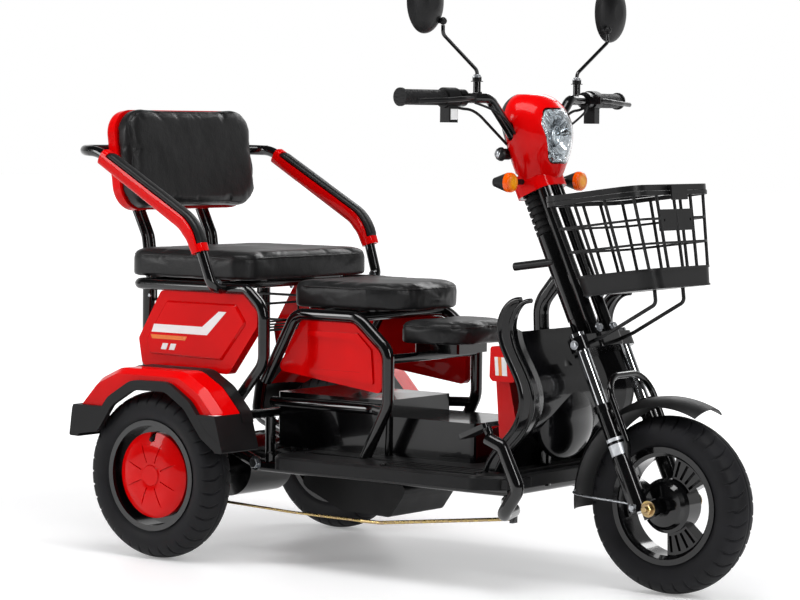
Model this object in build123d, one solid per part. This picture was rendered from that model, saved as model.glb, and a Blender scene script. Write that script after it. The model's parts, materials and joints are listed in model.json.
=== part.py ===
from build123d import *
import math
import os

# Electric leisure tricycle with three seats, a front basket with a lid and a raked telescopic fork.
# Millimetres. X points forward, Y to the rider's left, Z up. All sizes are given from the ground
# point under the middle of the rear axle; the finished pieces are then moved so that the origin is
# under the middle of the whole machine.

# ---- driving dimensions ----
wheel_base = 1128
rear_track = 636
fit_gap = 0.3              # between pieces that are assembled and do not move
run_gap = 6                # between pieces that move past each other
hole_gap = 2               # around a tube that passes through a moulding
skin = 4                   # wall of the plastic mouldings

# wheels
tyre_radius = 185
tyre_width = 88
tread_width = 76
tread_drop = 15            # crown height above the shoulder
bead_radius = 118
bead_width = 66
flange_height = 4.5
flange_thickness = 3.2
rim_wall = 7
rim_disc = 8
rim_disc_offset = 10
hub_radius = 34
shaft_radius = 12
shaft_reach = 60
hubcap_radius = 95
hubcap_depth = 13
hubcap_boss = 22
hubcap_ribs = 8
hubcap_groove = 2.4        # width of the pressed lines
front_hub_radius = 57
front_hub_width = 92
front_axle_radius = 6
front_rim_inner = 103
spoke_angles = (-65, 55, 175)   # middle of each wide spoke, from the front upwards
spoke_spread = 48
spoke_fins = 4
spoke_depth = 34

# steering
steer_rake = 24.5          # degrees from upright
axle_lead = 63             # the front axle stands this far ahead of the steering axis
fork_offset = 30           # the fork legs ahead of the steering axis
riser_offset = 40          # two column tubes ahead of it, from the crown to the handlebar
riser_spread = 55
riser_radius = 13
fork_spread = 160
stanchion_radius = 13.5
leg_radius = 20
slider_radius = 16.5       # upper, slimmer part of the lower leg
slider_bottom = 96
fender_half = 52           # half width of the front fender
brace_forward = 58         # the arch that ties the lower legs
brace_top = 262
leg_top = 207              # heights along the steering axis, from the axle's height
leg_bottom = -24
crown_bottom = 330
crown_thickness = 30
stem_radius = 14
stem_top = 692             # the upper bracket that joins stem and column tubes, inside the neck
bracket_thickness = 16
head_tube_radius = 27
head_tube_wall = 9
head_tube_bottom = 412
head_tube_top = 603
boot_radius = 27
boot_folds = 6

# handlebar and its fittings
bar_radius = 11
bar_clamp_height = 800     # of the column tubes, along the steering axis
bar_rise = 80
bar_shoulder = 150
bar_half_width = 400
bar_sweep = 45
grip_radius = 16
grip_length = 122
housing_radius = 21
housing_length = 34
mirror_reach = 345
mirror_height = 1215
mirror_half_width = 58
mirror_half_height = 66
mirror_depth = 26
ball_radius = 8

# headlamp cowl: height, centre, half length and half width of its level sections
cowl_levels = [
    (848, 786, 42, 46),
    (866, 786, 50, 56),
    (892, 786, 58, 68),
    (932, 784, 68, 80),
    (978, 775, 70, 83),
    (1010, 768, 56, 68),
    (1030, 762, 26, 36),
]
cowl_split = 745           # red shell ahead of this line, black cover behind it
neck_top = 736             # along the steering axis
neck_corner = 26
lens_width = 118
lens_height = 118
lens_height_mid = 943
lens_thickness = 3
reflector_back = 816
indicator_spread = 262
indicator_height = 845
indicator_x = 809          # front of the pod, its stalk behind it
indicator_stalk = 34
indicator_radius = 21

# front basket, in a frame tilted with the rim
basket_x = 1007
basket_z = 819
basket_tilt = 7.5
basket_rim_length = 229
basket_rim_width = 300
basket_floor_length = 189
basket_floor_width = 240
basket_floor_shift = 28
basket_depth = 199
basket_corner = 38
basket_wall = 5
basket_band = 40
basket_rows = 3
lid_thickness = 12
lid_open_bars = 5
rim_lip = 5
basket_post = 3.5
plate_width = 126          # number-plate bracket on the front wall
plate_height = 44
plate_pitch = 100
plate_hole = 3
plate_x = 117
plate_z = -60
latch_width = 60

# body
floor_top = 245
floor_thickness = 32
floor_rib = 3
floor_half_width = 262
floor_rear = 250
floor_front = 868
frame_tube = 14
axle_tube = 25
pedal_radius = 14
down_tube = 17
down_tube_inset = 62
hoop_radius = 13
hoop_spread = 326
hoop_height = 546
side_tube_height = 345     # glossy tube along the battery box
cross_bar = 10
loop_spread = 500
loop_radius = 12
loop_rear = -140           # rear cross tube of the seat rail
loop_cross = 60            # and the one under the middle of the seat
tray_half_width = 180
tray_rim = 560
tray_floor = 500
loop_foot = 300
loop_bar = 318             # the cross bar that rests on the frame's uprights
post_y = 205
post_radius = 8
seat_rail_height = 600
shield_half_width = 192
shield_top = 605
shield_wall = 6
shield_depth = 27          # of the side walls, from rear edge to front edge
shield_middle = 112        # half width of the flat middle
battery_top = 366

# seats
rear_seat_front = 172
rear_seat_rear = -196
rear_seat_half_width = 238
rear_seat_bottom = 616
rear_seat_thickness = 62
middle_seat_front = 528
middle_seat_rear = 218
middle_seat_half_width = 150
middle_seat_bottom = 560
middle_seat_thickness = 60
front_seat_front = 668
front_seat_rear = 500
front_seat_half_width = 122
front_seat_bottom = 493
front_seat_thickness = 50
back_half_width = 221
back_height = 236
back_thickness = 42
back_bottom = 758
back_x = -226
back_shell = 30
armrest_spread = 608
armrest_height = 898
arm_tube = 12

# rear body
fender_outer = 374         # red side wall from the middle of the machine
flare_outer = 386
fender_strip = 300         # the black strip lies inside this line
fender_split = 333         # black below this height at both ends
flare_width = 16
rear_panel_half_width = 250

# ---- derived places ----
rake = math.radians(steer_rake)
rear_wheel_y = rear_track / 2
column = Plane(
    origin=(wheel_base - axle_lead, 0, tyre_radius),
    x_dir=(math.cos(rake), 0, math.sin(rake)),
    z_dir=(-math.sin(rake), 0, math.cos(rake)),
)
axle_forward = axle_lead * math.cos(rake)      # the front axle in the column's own frame
axle_up = -axle_lead * math.sin(rake)
back_lean = 8
neck_span = (-stem_radius - 10, riser_offset + riser_radius + 8)
neck_room = riser_spread / 2 + riser_radius + 3
loop_x = back_x - back_shell - 10 - arm_tube
middle_x = (wheel_base + tyre_radius + loop_x - arm_tube) / 2


# ---- shared shapes ----
def bar(points, radius, bends=0):
    # A round bar along straight runs, with an arc at each inner point.
    path = Line(*points) if len(points) == 2 else FilletPolyline(*points, radius=bends)
    return sweep(Plane(origin=path @ 0, z_dir=path % 0) * Circle(radius), path=path)


def block(x, y, z, rounding=0):
    # A box between limits on each axis, its upright edges rounded.
    solid = Pos(sum(x) / 2, sum(y) / 2, sum(z) / 2) * Box(x[1] - x[0], y[1] - y[0], z[1] - z[0])
    return fillet(solid.edges().filter_by(Axis.Z), rounding) if rounding else solid


def across(radius, y, x=0, z=0):
    # A cylinder lying across the machine between two widths.
    return Pos(x, sum(y) / 2, z) * Rot(90, 0, 0) * Cylinder(radius, y[1] - y[0])


def along(radius, z, x=0, y=0):
    # A cylinder standing between two heights.
    return Pos(x, y, sum(z) / 2) * Cylinder(radius, z[1] - z[0])


def both_sides(solid):
    return solid + mirror(solid, about=Plane.XZ)


def ring_arc(section, start, end):
    # A section of radius and width, turned about the Y axis between two angles from the front.
    return Rot(0, -end, 0) * revolve(section, axis=Axis.Y, revolution_arc=end - start)


def outline(points, radii):
    # A closed face with each corner rounded.
    return make_face(FilletPolyline(*points, radius=radii, close=True))


def side_plate(points, radii, y):
    # A plate with its outline seen from the side, between two widths.
    face = Plane.XZ * outline(points, radii)
    return Pos(0, y[1], 0) * extrude(face, y[1] - y[0])


# ---- wheels ----
def tyre():
    shoulder = tyre_radius - tread_drop
    seat = bead_width / 2
    rise = bead_radius + flange_height + 1
    belly = (rise + shoulder) / 2
    half = tyre_width / 2
    crown = tread_width / 2
    section = make_face([
        Line((rise, -seat), (bead_radius, -seat)),
        Line((bead_radius, -seat), (bead_radius, seat)),
        Line((bead_radius, seat), (rise, seat)),
        ThreePointArc((rise, seat), (belly, half), (shoulder, crown)),
        ThreePointArc((shoulder, crown), (tyre_radius, 0), (shoulder, -crown)),
        ThreePointArc((shoulder, -crown), (belly, -half), (rise, -seat)),
    ])
    return revolve(section, axis=Axis.Y)


def rim_ring():
    # The bead seat with a raised flange each side of the tyre.
    outer = bead_radius - fit_gap
    seat = bead_width / 2 + fit_gap
    edge = seat + flange_thickness
    top = bead_radius + flange_height
    section = Polygon(
        (outer - rim_wall, -edge), (top, -edge), (top, -seat), (outer, -seat),
        (outer, seat), (top, seat), (top, edge), (outer - rim_wall, edge),
        align=None,
    )
    return revolve(section, axis=Axis.Y)


def rear_wheel():
    # Pressed disc, hub and the half shaft that turns in the axle tube.
    inner = bead_radius - fit_gap - rim_wall + 1
    wheel = rim_ring()
    wheel += across(inner, (rim_disc_offset - rim_disc, rim_disc_offset))
    wheel += across(hub_radius, (-bead_width / 2, rim_disc_offset))
    wheel += across(shaft_radius, (-bead_width / 2 - shaft_reach, 0))
    return wheel


def hubcap():
    seat = rim_disc_offset + fit_gap
    face = bead_width / 2 + flange_thickness
    edge = face - hubcap_depth
    dome = make_face([
        Line((0, face), (hubcap_boss, face)),
        Line((hubcap_boss, face), (hubcap_boss + 2, face - 3)),
        ThreePointArc((hubcap_boss + 2, face - 3), (hubcap_radius * 0.72, face - 4), (hubcap_radius, edge)),
        Line((hubcap_radius, edge), (hubcap_radius, seat)),
        Line((hubcap_radius, seat), (hubcap_radius - skin, seat)),
        Line((hubcap_radius - skin, seat), (hubcap_radius - skin, edge - skin)),
        ThreePointArc((hubcap_radius - skin, edge - skin), (hubcap_radius * 0.66, face - 4 - skin),
                      (hubcap_boss, face - 3 - skin)),
        Line((hubcap_boss, face - 3 - skin), (0, face - 3 - skin)),
        Line((0, face - 3 - skin), (0, face)),
    ])
    cap = revolve(dome, axis=Axis.Y)
    middle = (hubcap_boss + 8 + hubcap_radius * 0.8) / 2
    length = hubcap_radius * 0.8 - hubcap_boss - 8
    for number in range(hubcap_ribs):
        turn = Rot(0, (number + 0.5) * 360 / hubcap_ribs, 0)
        cap -= turn * Pos(middle, face - 2.2, 0) * Box(length, 7, hubcap_groove)
    notch = Pos(0, face - hubcap_depth, hubcap_radius) * Box(15, 40, 38)
    return cap - notch


def front_wheel():
    # Cast wheel: drum hub, three wide finned spokes and rim in one piece, bored for the fixed axle.
    inner = bead_radius - fit_gap - rim_wall
    half = front_hub_width / 2
    wheel = rim_ring()
    drop = Polygon((front_rim_inner, -24), (inner + 1, -31), (inner + 1, 31), (front_rim_inner, 24), align=None)
    wheel += revolve(drop, axis=Axis.Y)
    hub = Polygon(
        (0, -half), (17, -half), (21, half * -0.84), (43, half * -0.78), (50, half * -0.6),
        (front_hub_radius, half * -0.5), (front_hub_radius, half * 0.5), (50, half * 0.6),
        (43, half * 0.78), (21, half * 0.84), (17, half), (0, half), align=None,
    )
    wheel += revolve(hub, axis=Axis.Y)
    reach = (front_hub_radius - 4, front_rim_inner + 2)
    plate = Polygon((reach[0], -spoke_depth / 2), (reach[1], -spoke_depth / 2), (reach[1], spoke_depth / 2),
                    (reach[0], spoke_depth / 2), align=None)
    middle = (front_hub_radius + front_rim_inner) / 2
    for angle in spoke_angles:
        wheel += ring_arc(plate, angle - spoke_spread / 2, angle + spoke_spread / 2)
        for number in range(spoke_fins):
            turn = angle + ((number + 0.5) / spoke_fins - 0.5) * spoke_spread
            for side in (-1, 1):
                slot = Pos(middle, side * spoke_depth * 0.5, 0) * Box(34, spoke_depth * 0.6, 6)
                wheel -= Rot(0, -turn, 0) * slot
    return wheel - across(front_axle_radius + fit_gap, (-half - 1, half + 1))


# ---- steering, in the column's own frame ----
def fork_crown():
    # Lower crown, the stem through the head tube and the upper bracket.
    side = fork_spread / 2
    half = stanchion_radius + 9
    top = crown_bottom + crown_thickness
    plate = block((fork_offset - half, fork_offset + half), (-side - half, side + half),
                  (crown_bottom, top), half - 1)
    web = riser_spread / 2 + riser_radius + 4
    plate += block((-stem_radius - 8, riser_offset + riser_radius + 5), (-web, web), (crown_bottom, top), 12)
    plate += along(stem_radius, (top, stem_top))
    plate += along(head_tube_radius - 2, (top, head_tube_bottom - fit_gap))
    plate += block(neck_span, (-neck_room, neck_room), (stem_top, stem_top + bracket_thickness), neck_corner)
    for y in (-side, side):
        plate -= along(stanchion_radius + fit_gap, (crown_bottom - 1, top + 1), fork_offset, y)
    for y in (-riser_spread / 2, riser_spread / 2):
        plate -= along(riser_radius + fit_gap, (crown_bottom + 8, stem_top + 20), riser_offset, y)
    return plate


def column_tubes():
    foot = crown_bottom + 8 + fit_gap
    return both_sides(along(riser_radius, (foot, bar_clamp_height), riser_offset, riser_spread / 2))


def fork_stanchions():
    side = fork_spread / 2
    top = crown_bottom + crown_thickness
    tubes = along(stanchion_radius, (leg_top - 90, top + 4), fork_offset, side)
    tubes += along(stanchion_radius + 3, (top + fit_gap, top + 9), fork_offset, side)
    return both_sides(tubes)


def fork_lowers():
    # Two lower legs in two steps, with the axle between them and an arch over the fender.
    side = fork_spread / 2
    leg = along(leg_radius, (leg_bottom, slider_bottom), fork_offset, side)
    leg += along(slider_radius, (slider_bottom, leg_top), fork_offset, side)
    leg += along(slider_radius + 3, (leg_top - 12, leg_top + 4), fork_offset, side)
    leg += block((fork_offset, axle_forward + 15), (side - 18, side - 4), (axle_up - 17, axle_up + 17))
    leg += across(13, (side - 4, side + 12), axle_forward, axle_up)
    stub = fender_half + 3 + fit_gap
    leg += across(8, (stub, side - slider_radius + 4), fork_offset, leg_top - 26)
    leg = both_sides(leg)
    arch = [(fork_offset + 14, -side, slider_bottom - 14), (brace_forward, -side, slider_bottom + 26),
            (brace_forward, -side, brace_top), (brace_forward, side, brace_top),
            (brace_forward, side, slider_bottom + 26), (fork_offset + 14, side, slider_bottom - 14)]
    leg += bar(arch, 7, [24, 52, 52, 24])
    leg -= both_sides(along(stanchion_radius + fit_gap, (slider_bottom + 6, leg_top + 5), fork_offset, side))
    return leg + across(front_axle_radius, (-side + 2, side - 2), axle_forward, axle_up)


def front_fender():
    inner = tyre_radius + 20
    half = fender_half
    drop = 17
    section = make_face([
        ThreePointArc((inner, -half), (inner + drop, 0), (inner, half)),
        Line((inner, half), (inner + 1, half + 3)),
        ThreePointArc((inner + 1, half + 3), (inner + drop + 3.5, 0), (inner + 1, -half - 3)),
        Line((inner + 1, -half - 3), (inner, -half)),
    ])
    return Pos(wheel_base, 0, tyre_radius) * ring_arc(section, 66, 186)


def column_point(height, forward=0):
    # Where a point of the column's own frame stands, from its height along the steering axis.
    x = wheel_base - axle_lead - height * math.sin(rake) + forward * math.cos(rake)
    return x, tyre_radius + height * math.cos(rake) + forward * math.sin(rake)


def bar_points():
    # The right half of the handlebar: level through the clamp, up, and out to the grip.
    x, z = column_point(bar_clamp_height + bar_radius + fit_gap, riser_offset)
    return [
        (x, 0, z), (x, -bar_shoulder * 0.45, z), (x - 5, -bar_shoulder, z + bar_rise),
        (x - bar_sweep, -bar_half_width, z + bar_rise),
    ]


def handlebar():
    return both_sides(bar(bar_points(), bar_radius, [22, 32]))


def bar_end():
    # The straight outer run of the right handle: its direction and its outer end.
    start, end = (Vector(*point) for point in bar_points()[-2:])
    return (end - start).normalized(), end


def on_bar(solid, inset):
    # Sets a piece that is modelled along +Z on the right handle, its foot this far from the end.
    direction, end = bar_end()
    return Plane(origin=end - direction * inset, z_dir=direction, x_dir=(0, 0, 1)).location * solid


def grips():
    sleeve = Cylinder(grip_radius, grip_length, align=(Align.CENTER, Align.CENTER, Align.MIN))
    sleeve -= Cylinder(bar_radius + fit_gap / 2, grip_length - 4, align=(Align.CENTER, Align.CENTER, Align.MIN))
    sleeve += Pos(0, 0, grip_length - 5) * Cylinder(grip_radius + 3, 5, align=(Align.CENTER, Align.CENTER, Align.MIN))
    return both_sides(on_bar(sleeve, grip_length - 6))


def control_housings():
    base = grip_length - 6 + housing_length + 1
    shell = Cylinder(housing_radius, housing_length, align=(Align.CENTER, Align.CENTER, Align.MIN))
    shell += Pos(-34, 0, 3) * Box(34, 26, housing_length - 8, align=(Align.CENTER, Align.CENTER, Align.MIN))
    shell -= Cylinder(bar_radius + fit_gap / 2, housing_length + 1, align=(Align.CENTER, Align.CENTER, Align.MIN))
    return both_sides(on_bar(shell, base))


def brake_levers():
    inset = grip_length + housing_length + 2
    perch = Cylinder(bar_radius + 7, 18, align=(Align.CENTER, Align.CENTER, Align.MIN))
    perch += Pos(0, -24, 9) * Box(16, 30, 18)
    perch -= Pos(0, 0, -1) * Cylinder(bar_radius + fit_gap / 2, 20, align=(Align.CENTER, Align.CENTER, Align.MIN))
    blade = bar([(0, -36, 9), (-2, -44, 40), (-6, -46, 100), (-8, -36, 165)], 5, [25, 60])
    return both_sides(on_bar(perch + blade, inset + 18))


def mirror_foot():
    # On top of the handlebar, inboard of the controls.
    direction, end = bar_end()
    foot = end - direction * (grip_length + housing_length + 60)
    return Vector(foot.X, foot.Y, foot.Z + bar_radius + fit_gap / 2)


def mirror_ball():
    # The ball joint low on the inner side of the mirror head.
    foot = mirror_foot()
    return Vector(foot.X, -mirror_reach + 0.64 * mirror_half_width, mirror_height - 0.6 * mirror_half_height)


def mirror_stems():
    foot = mirror_foot()
    ball = mirror_ball()
    top = ball.Z - ball_radius - fit_gap
    stem = bar([
        (foot.X, foot.Y, foot.Z), (foot.X, foot.Y, foot.Z + 46),
        (foot.X, ball.Y, top - 18), (foot.X, ball.Y, top),
    ], 4, [14, 12])
    stem += Pos(foot.X, foot.Y, foot.Z) * Cylinder(8, 24, align=(Align.CENTER, Align.CENTER, Align.MIN))
    return both_sides(stem)


def mirror_place():
    # The rim of the mirror head, behind its ball joint.
    return Pos(mirror_ball().X - 22, -mirror_reach, mirror_height) * Rot(0, 90, 0)


def mirror_heads():
    levels = [(0, 1.0), (6, 0.98), (14, 0.86), (mirror_depth - 4, 0.6), (mirror_depth, 0.3)]
    dome = loft([
        Pos(0, 0, z) * Ellipse(mirror_half_height * share, mirror_half_width * share) for z, share in levels
    ])
    dome -= extrude(Ellipse(mirror_half_height - 3, mirror_half_width - 3), 3)
    ball = mirror_ball()
    neck = Pos(ball.X - 8, ball.Y, ball.Z) * Rot(0, 90, 0) * Cylinder(5, 16)
    return both_sides(mirror_place() * dome + neck + Pos(ball.X, ball.Y, ball.Z) * Sphere(ball_radius))


def mirror_glasses():
    inset = 3 + fit_gap
    glass = extrude(Ellipse(mirror_half_height - inset, mirror_half_width - inset), 3 - fit_gap)
    return both_sides(mirror_place() * glass)


def cowl_solid(inset):
    # The smooth outer form; the inner one is the same form, its ends drawn in by the wall.
    last = len(cowl_levels) - 1
    ends = {0: inset, last: -inset}
    return loft([
        Pos(x, 0, z + ends.get(number, 0)) * Ellipse(half_length - inset, half_width - inset)
        for number, (z, x, half_length, half_width) in enumerate(cowl_levels)
    ])


def neck_solid(wall, low, high):
    # The sleeve around the column, in line with the steering axis.
    grow = fit_gap + wall
    sleeve = block((neck_span[0] - grow, neck_span[1] + grow), (-neck_room - grow, neck_room + grow),
                   (low, high), neck_corner + grow)
    return column.location * sleeve


def cowl_shell():
    # Cowl and neck in one wall, open below and where the handlebar comes out.
    shell = cowl_solid(0) + neck_solid(skin, stem_top, neck_top)
    shell -= cowl_solid(skin)
    shell -= neck_solid(0, stem_top - 1, neck_top + 12)
    return shell - both_sides(bar(bar_points()[:3], bar_radius + hole_gap, [22]))


def headlamp_cowl():
    front = cowl_shell() & block((cowl_split, 900), (-120, 120), (700, 1060))
    return front - lens_body(lens_width, lens_height, 90)


def lens_body(width, height, depth):
    # The lamp opening: wide at the top, narrower below.
    half = width / 2
    face = Plane.YZ * outline([
        (-half * 0.62, -height / 2), (half * 0.62, -height / 2), (half, height * 0.22),
        (half * 0.72, height / 2), (-half * 0.72, height / 2), (-half, height * 0.22),
    ], 20)
    return Pos(cowl_split + 40, 0, lens_height_mid) * extrude(face, depth)


def headlamp_lens():
    glass = lens_body(lens_width - 2 * fit_gap, lens_height - 2 * fit_gap, 90) & cowl_solid(0)
    return glass - cowl_solid(lens_thickness)


def headlamp_reflector():
    bowl = lens_body(lens_width - 2 * skin, lens_height - 2 * skin, 90) & cowl_solid(lens_thickness + fit_gap)
    bowl &= block((reflector_back, 900), (-100, 100), (800, 1060))
    return bowl - Pos(reflector_back + 78, 0, lens_height_mid) * Sphere(75)


def cowl_back_panel():
    return cowl_shell() & block((600, cowl_split - fit_gap), (-120, 120), (700, 1060))


def indicator_pods():
    y = indicator_spread / 2
    pod = Pos(indicator_x - 12, -y, indicator_height) * Rot(0, -90, 0) * Cone(
        indicator_radius, indicator_radius * 0.45, 34, align=(Align.CENTER, Align.CENTER, Align.MIN))
    wall = neck_room + 2 * fit_gap + skin
    pod += across(6, (-y, -wall), indicator_x - indicator_stalk, indicator_height)
    return both_sides(pod)


def indicator_lenses():
    y = indicator_spread / 2
    lens = Pos(indicator_x - 12 + fit_gap, -y, indicator_height) * Rot(0, 90, 0) * Cylinder(
        indicator_radius, 14, align=(Align.CENTER, Align.CENTER, Align.MIN))
    lens = fillet(lens.edges().sort_by(Axis.X)[-1], 8)
    return both_sides(lens)


def steering_boot():
    base = head_tube_top + fit_gap
    top = stem_top - fit_gap
    pitch = (top - base) / boot_folds
    boot = along(boot_radius - 5, (base, top))
    for number in range(boot_folds):
        boot += Pos(0, 0, base + pitch * (number + 0.5)) * Cylinder(boot_radius, pitch * 0.55)
    boot -= along(stem_radius + fit_gap, (base - 1, top + 1))
    return boot - both_sides(along(riser_radius + fit_gap, (base - 1, top + 1), riser_offset, riser_spread / 2))


# ---- front basket, in the rim's own tilted frame ----
basket_frame = Plane(origin=(basket_x, 0, basket_z), x_dir=(
    math.cos(math.radians(basket_tilt)), 0, math.sin(math.radians(basket_tilt))), z_dir=(
    -math.sin(math.radians(basket_tilt)), 0, math.cos(math.radians(basket_tilt))))


def basket_level(low, grow):
    # The basket's outline at a height below the rim, larger or smaller all round by some amount.
    share = -low / basket_depth
    length = basket_rim_length + (basket_floor_length - basket_rim_length) * share + 2 * grow
    width = basket_rim_width + (basket_floor_width - basket_rim_width) * share + 2 * grow
    return Pos(basket_floor_shift * share, 0, low) * RectangleRounded(length, width, basket_corner + grow)


def basket_ring(low, height, grow):
    return extrude(basket_level(low, grow) - basket_level(low, -basket_wall), height)


def basket_places():
    # Where posts stand on the rim, in shares of the half length and half width.
    corner = 1 - 0.3 * basket_corner / (basket_rim_width / 2)
    places = [(side, across_share) for side in (-1, 1) for across_share in (-0.45, 0, 0.45)]
    places += [(share, side) for side in (-1, 1) for share in (-0.33, 0.33)]
    places += [(end * (1 - 0.3 * basket_corner / (basket_rim_length / 2)), side * corner)
               for end in (-1, 1) for side in (-1, 1)]
    return places


def front_basket():
    band = basket_band - basket_depth
    basket = loft([basket_level(-basket_depth, 0), basket_level(band, 0)])
    basket -= loft([basket_level(-basket_depth + basket_wall, -basket_wall), basket_level(band, -basket_wall)])
    basket += basket_ring(-basket_depth, 4, 2) + basket_ring(band - 3, 5, 2) + basket_ring(-9, 9, rim_lip)
    row = (-9 - band) / basket_rows
    for level in range(1, basket_rows):
        basket += basket_ring(-9 - row * level, 5, 0)
    for along_share, across_share in basket_places():
        ends = []
        for low in (-4, band - 1):
            share = -low / basket_depth
            length = basket_rim_length + (basket_floor_length - basket_rim_length) * share
            width = basket_rim_width + (basket_floor_width - basket_rim_width) * share
            ends.append((basket_floor_shift * share + along_share * (length / 2 - basket_wall / 2),
                         across_share * (width / 2 - basket_wall / 2), low))
        basket += bar(ends, basket_post)
    basket += block((plate_x - 7, plate_x), (-plate_width / 2, plate_width / 2),
                    (plate_z - plate_height / 2, plate_z + plate_height / 2))
    for y in (-plate_pitch / 2, plate_pitch / 2):
        basket -= Pos(plate_x, y, plate_z) * Rot(0, 90, 0) * Cylinder(plate_hole, 30)
    return basket


def basket_lid():
    length = basket_rim_length + 6
    width = basket_rim_width + 6
    frame = extrude(RectangleRounded(length, width, basket_corner + 3)
                    - RectangleRounded(length - 22, width - 22, basket_corner - 8), lid_thickness)
    for number in range(lid_open_bars):
        y = (number - (lid_open_bars - 1) / 2) * (width - 30) / lid_open_bars
        frame += Pos(0, y, lid_thickness - 3) * Box(length - 18, 7, 6)
    frame += Pos(0, 0, lid_thickness - 3) * Box(7, width - 18, 6)
    latch = length / 2 + rim_lip
    frame += Pos(latch - 2, 0, lid_thickness / 2) * Box(14, latch_width, 6)
    frame += Pos(latch + 4, 0, -6) * Box(4, latch_width, 30)
    frame += across(5, (-70, 70), -length / 2, 6)
    return Pos(0, 0, 1) * frame


def basket_point(forward, y, height):
    return (basket_frame.location * Pos(forward, y, height)).position


def basket_supports():
    # Two rods from the front of the crown up to the basket floor.
    side = 55
    front = fork_offset + stanchion_radius + 9 + fit_gap
    height = crown_bottom + crown_thickness / 2
    start, knee = ((x, -side, z) for x, z in (column_point(height, front), column_point(height, front + 26)))
    under = basket_point(80, -side, -basket_depth - 30)
    foot = basket_point(80, -side, -basket_depth - fit_gap)
    return both_sides(bar([start, knee, under, foot], 4, [16, 14]))


# ---- frame ----
rail_y = 120
rail_z = floor_top - floor_thickness - frame_tube - fit_gap


def rail_points():
    # The right rail: down behind the rear seat, in over the axle and forward under the floor.
    return [
        (loop_rear, -post_y, seat_rail_height - loop_radius - fit_gap), (loop_rear, -post_y, 400),
        (-90, -rail_y, 278), (120, -rail_y, rail_z), (floor_front - down_tube_inset, -rail_y, rail_z),
    ]


def frame_crosses():
    return 160, 480, floor_front - down_tube_inset


def down_tube_points():
    # From the last cross tube up behind the shield to the head tube.
    x, z = column_point((head_tube_bottom + head_tube_top) / 2)
    foot = floor_front - down_tube_inset
    return [(foot, 0, rail_z), (foot, 0, rail_z + 120), (x - 60, 0, z - 60), (x - 16, 0, z - 6)]


def main_frame():
    frame = both_sides(bar(rail_points(), frame_tube, [50, 50, 60]))
    for x in frame_crosses():
        frame += across(frame_tube - 2, (-rail_y, rail_y), x, rail_z)
    frame += both_sides(along(frame_tube - 2, (rail_z, loop_bar - cross_bar - fit_gap), 150, rail_y))
    head = along(head_tube_radius, (head_tube_bottom, head_tube_top))
    head -= along(head_tube_radius - head_tube_wall, (head_tube_bottom - 1, head_tube_top + 1))
    down = bar(down_tube_points(), down_tube, [60, 60])
    down -= column.location * along(head_tube_radius - 1, (head_tube_bottom, head_tube_top))
    return frame + down + column.location * head


def side_hoops():
    y = hoop_spread / 2
    hoop = bar([
        (170, -y, 392), (256, -y, hoop_height), (430, -y, hoop_height), (512, -y, 478), (512, -y, 360),
        (442, -y, floor_top - 20),
    ], hoop_radius, [40, 60, 40, 60])
    hoop -= block((400, 560), (-y - 30, -y + 30), (floor_top - 60, floor_top + fit_gap))
    hoops = both_sides(hoop + bar([(166, -132, side_tube_height), (450, -132, side_tube_height),
                                   (506, -y, side_tube_height)], 11, [60]))
    hoops += across(cross_bar, (-y, y), 300, hoop_height)
    hoops += across(cross_bar, (-y, y), 420, hoop_height)
    return hoops + across(cross_bar, (-y, y), 512, 460)


def seat_loops():
    # One tube: from a foot, up around the side panel, back under the seat and round to the other foot.
    y = loop_spread / 2
    z = seat_rail_height
    right = [(150, -y, loop_foot), (150, -y, 340), (236, -y, 440), (236, -y, 560), (190, -y, z), (loop_rear, -y, z)]
    left = [(x, y, height) for x, _, height in reversed(right)]
    loop = bar(right + left, loop_radius, [30, 50, 50, 30, 26, 26, 30, 50, 50, 30])
    loop += across(cross_bar, (-y, y), loop_cross, z)
    return loop + across(cross_bar, (-y, y), 150, loop_bar)


def rear_side_panels():
    top = seat_rail_height - loop_radius - fit_gap
    points = [(-62, top), (-129, 478), (-118, 418), (136, 410), (218, 520), (218, 552), (178, top)]
    y = -rear_panel_half_width
    panel = side_plate(points, 12, (y, y + 24))
    middle = [(-44, 566), (-104, 476), (-94, 444), (118, 440), (188, 526), (158, 566)]
    panel += chamfer(side_plate(middle, 12, (y - 5, y + 2)).faces().sort_by(Axis.Y)[0].edges(), 4)
    return both_sides(panel)


def middle_side_panels():
    # Set between the tubes of the hoop, with a raised bent rib.
    y = -hoop_spread / 2
    top = hoop_height - hoop_radius - fit_gap
    points = [(205, 420), (272, top), (418, top), (495, 470), (495, 384)]
    panel = side_plate(points, [12, 12, 30, 30, 12], (y - 1, y + 20))
    rib = [(292, 512), (430, 512), (468, 478), (474, 404), (300, 418), (300, 428), (440, 428), (444, 468),
           (420, 496), (292, 500)]
    return both_sides(panel + side_plate(rib, 3, (y - 5, y + 1)))


def fender_profile(grow):
    # The arch over the wheel seen from the side, larger all round by some amount.
    points = [(-214, 262), (-205, 330), (-146, 392), (-84, 420), (104, 420), (164, 386), (212, 335), (236, 253)]
    face = outline(points, [4, 30, 60, 60, 60, 60, 30, 4])
    return Plane.XZ * (offset(face, grow) if grow else face)


def wheel_opening(grow):
    # The edge of the arch around the tyre, closed below.
    points = [(-186, 150), (-186, 268), (-129, 276), (-85, 338), (-23, 375), (70, 377), (125, 344), (174, 283),
              (214, 256), (214, 150)]
    face = outline(points, [4, 4, 26, 40, 40, 40, 40, 40, 6, 4])
    return Plane.XZ * (offset(face, grow) if grow else face)


def fender_body(wall):
    # The full form of the arch, its outer edge rounded off in one slope, less a wall all round.
    outer = fender_outer - wall
    body = Pos(0, -fender_strip, 0) * extrude(fender_profile(-wall), outer - 22 - fender_strip)
    return body + loft([Pos(0, -outer + 22, 0) * fender_profile(-wall), Pos(0, -outer, 0) * fender_profile(-wall - 12)])


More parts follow.
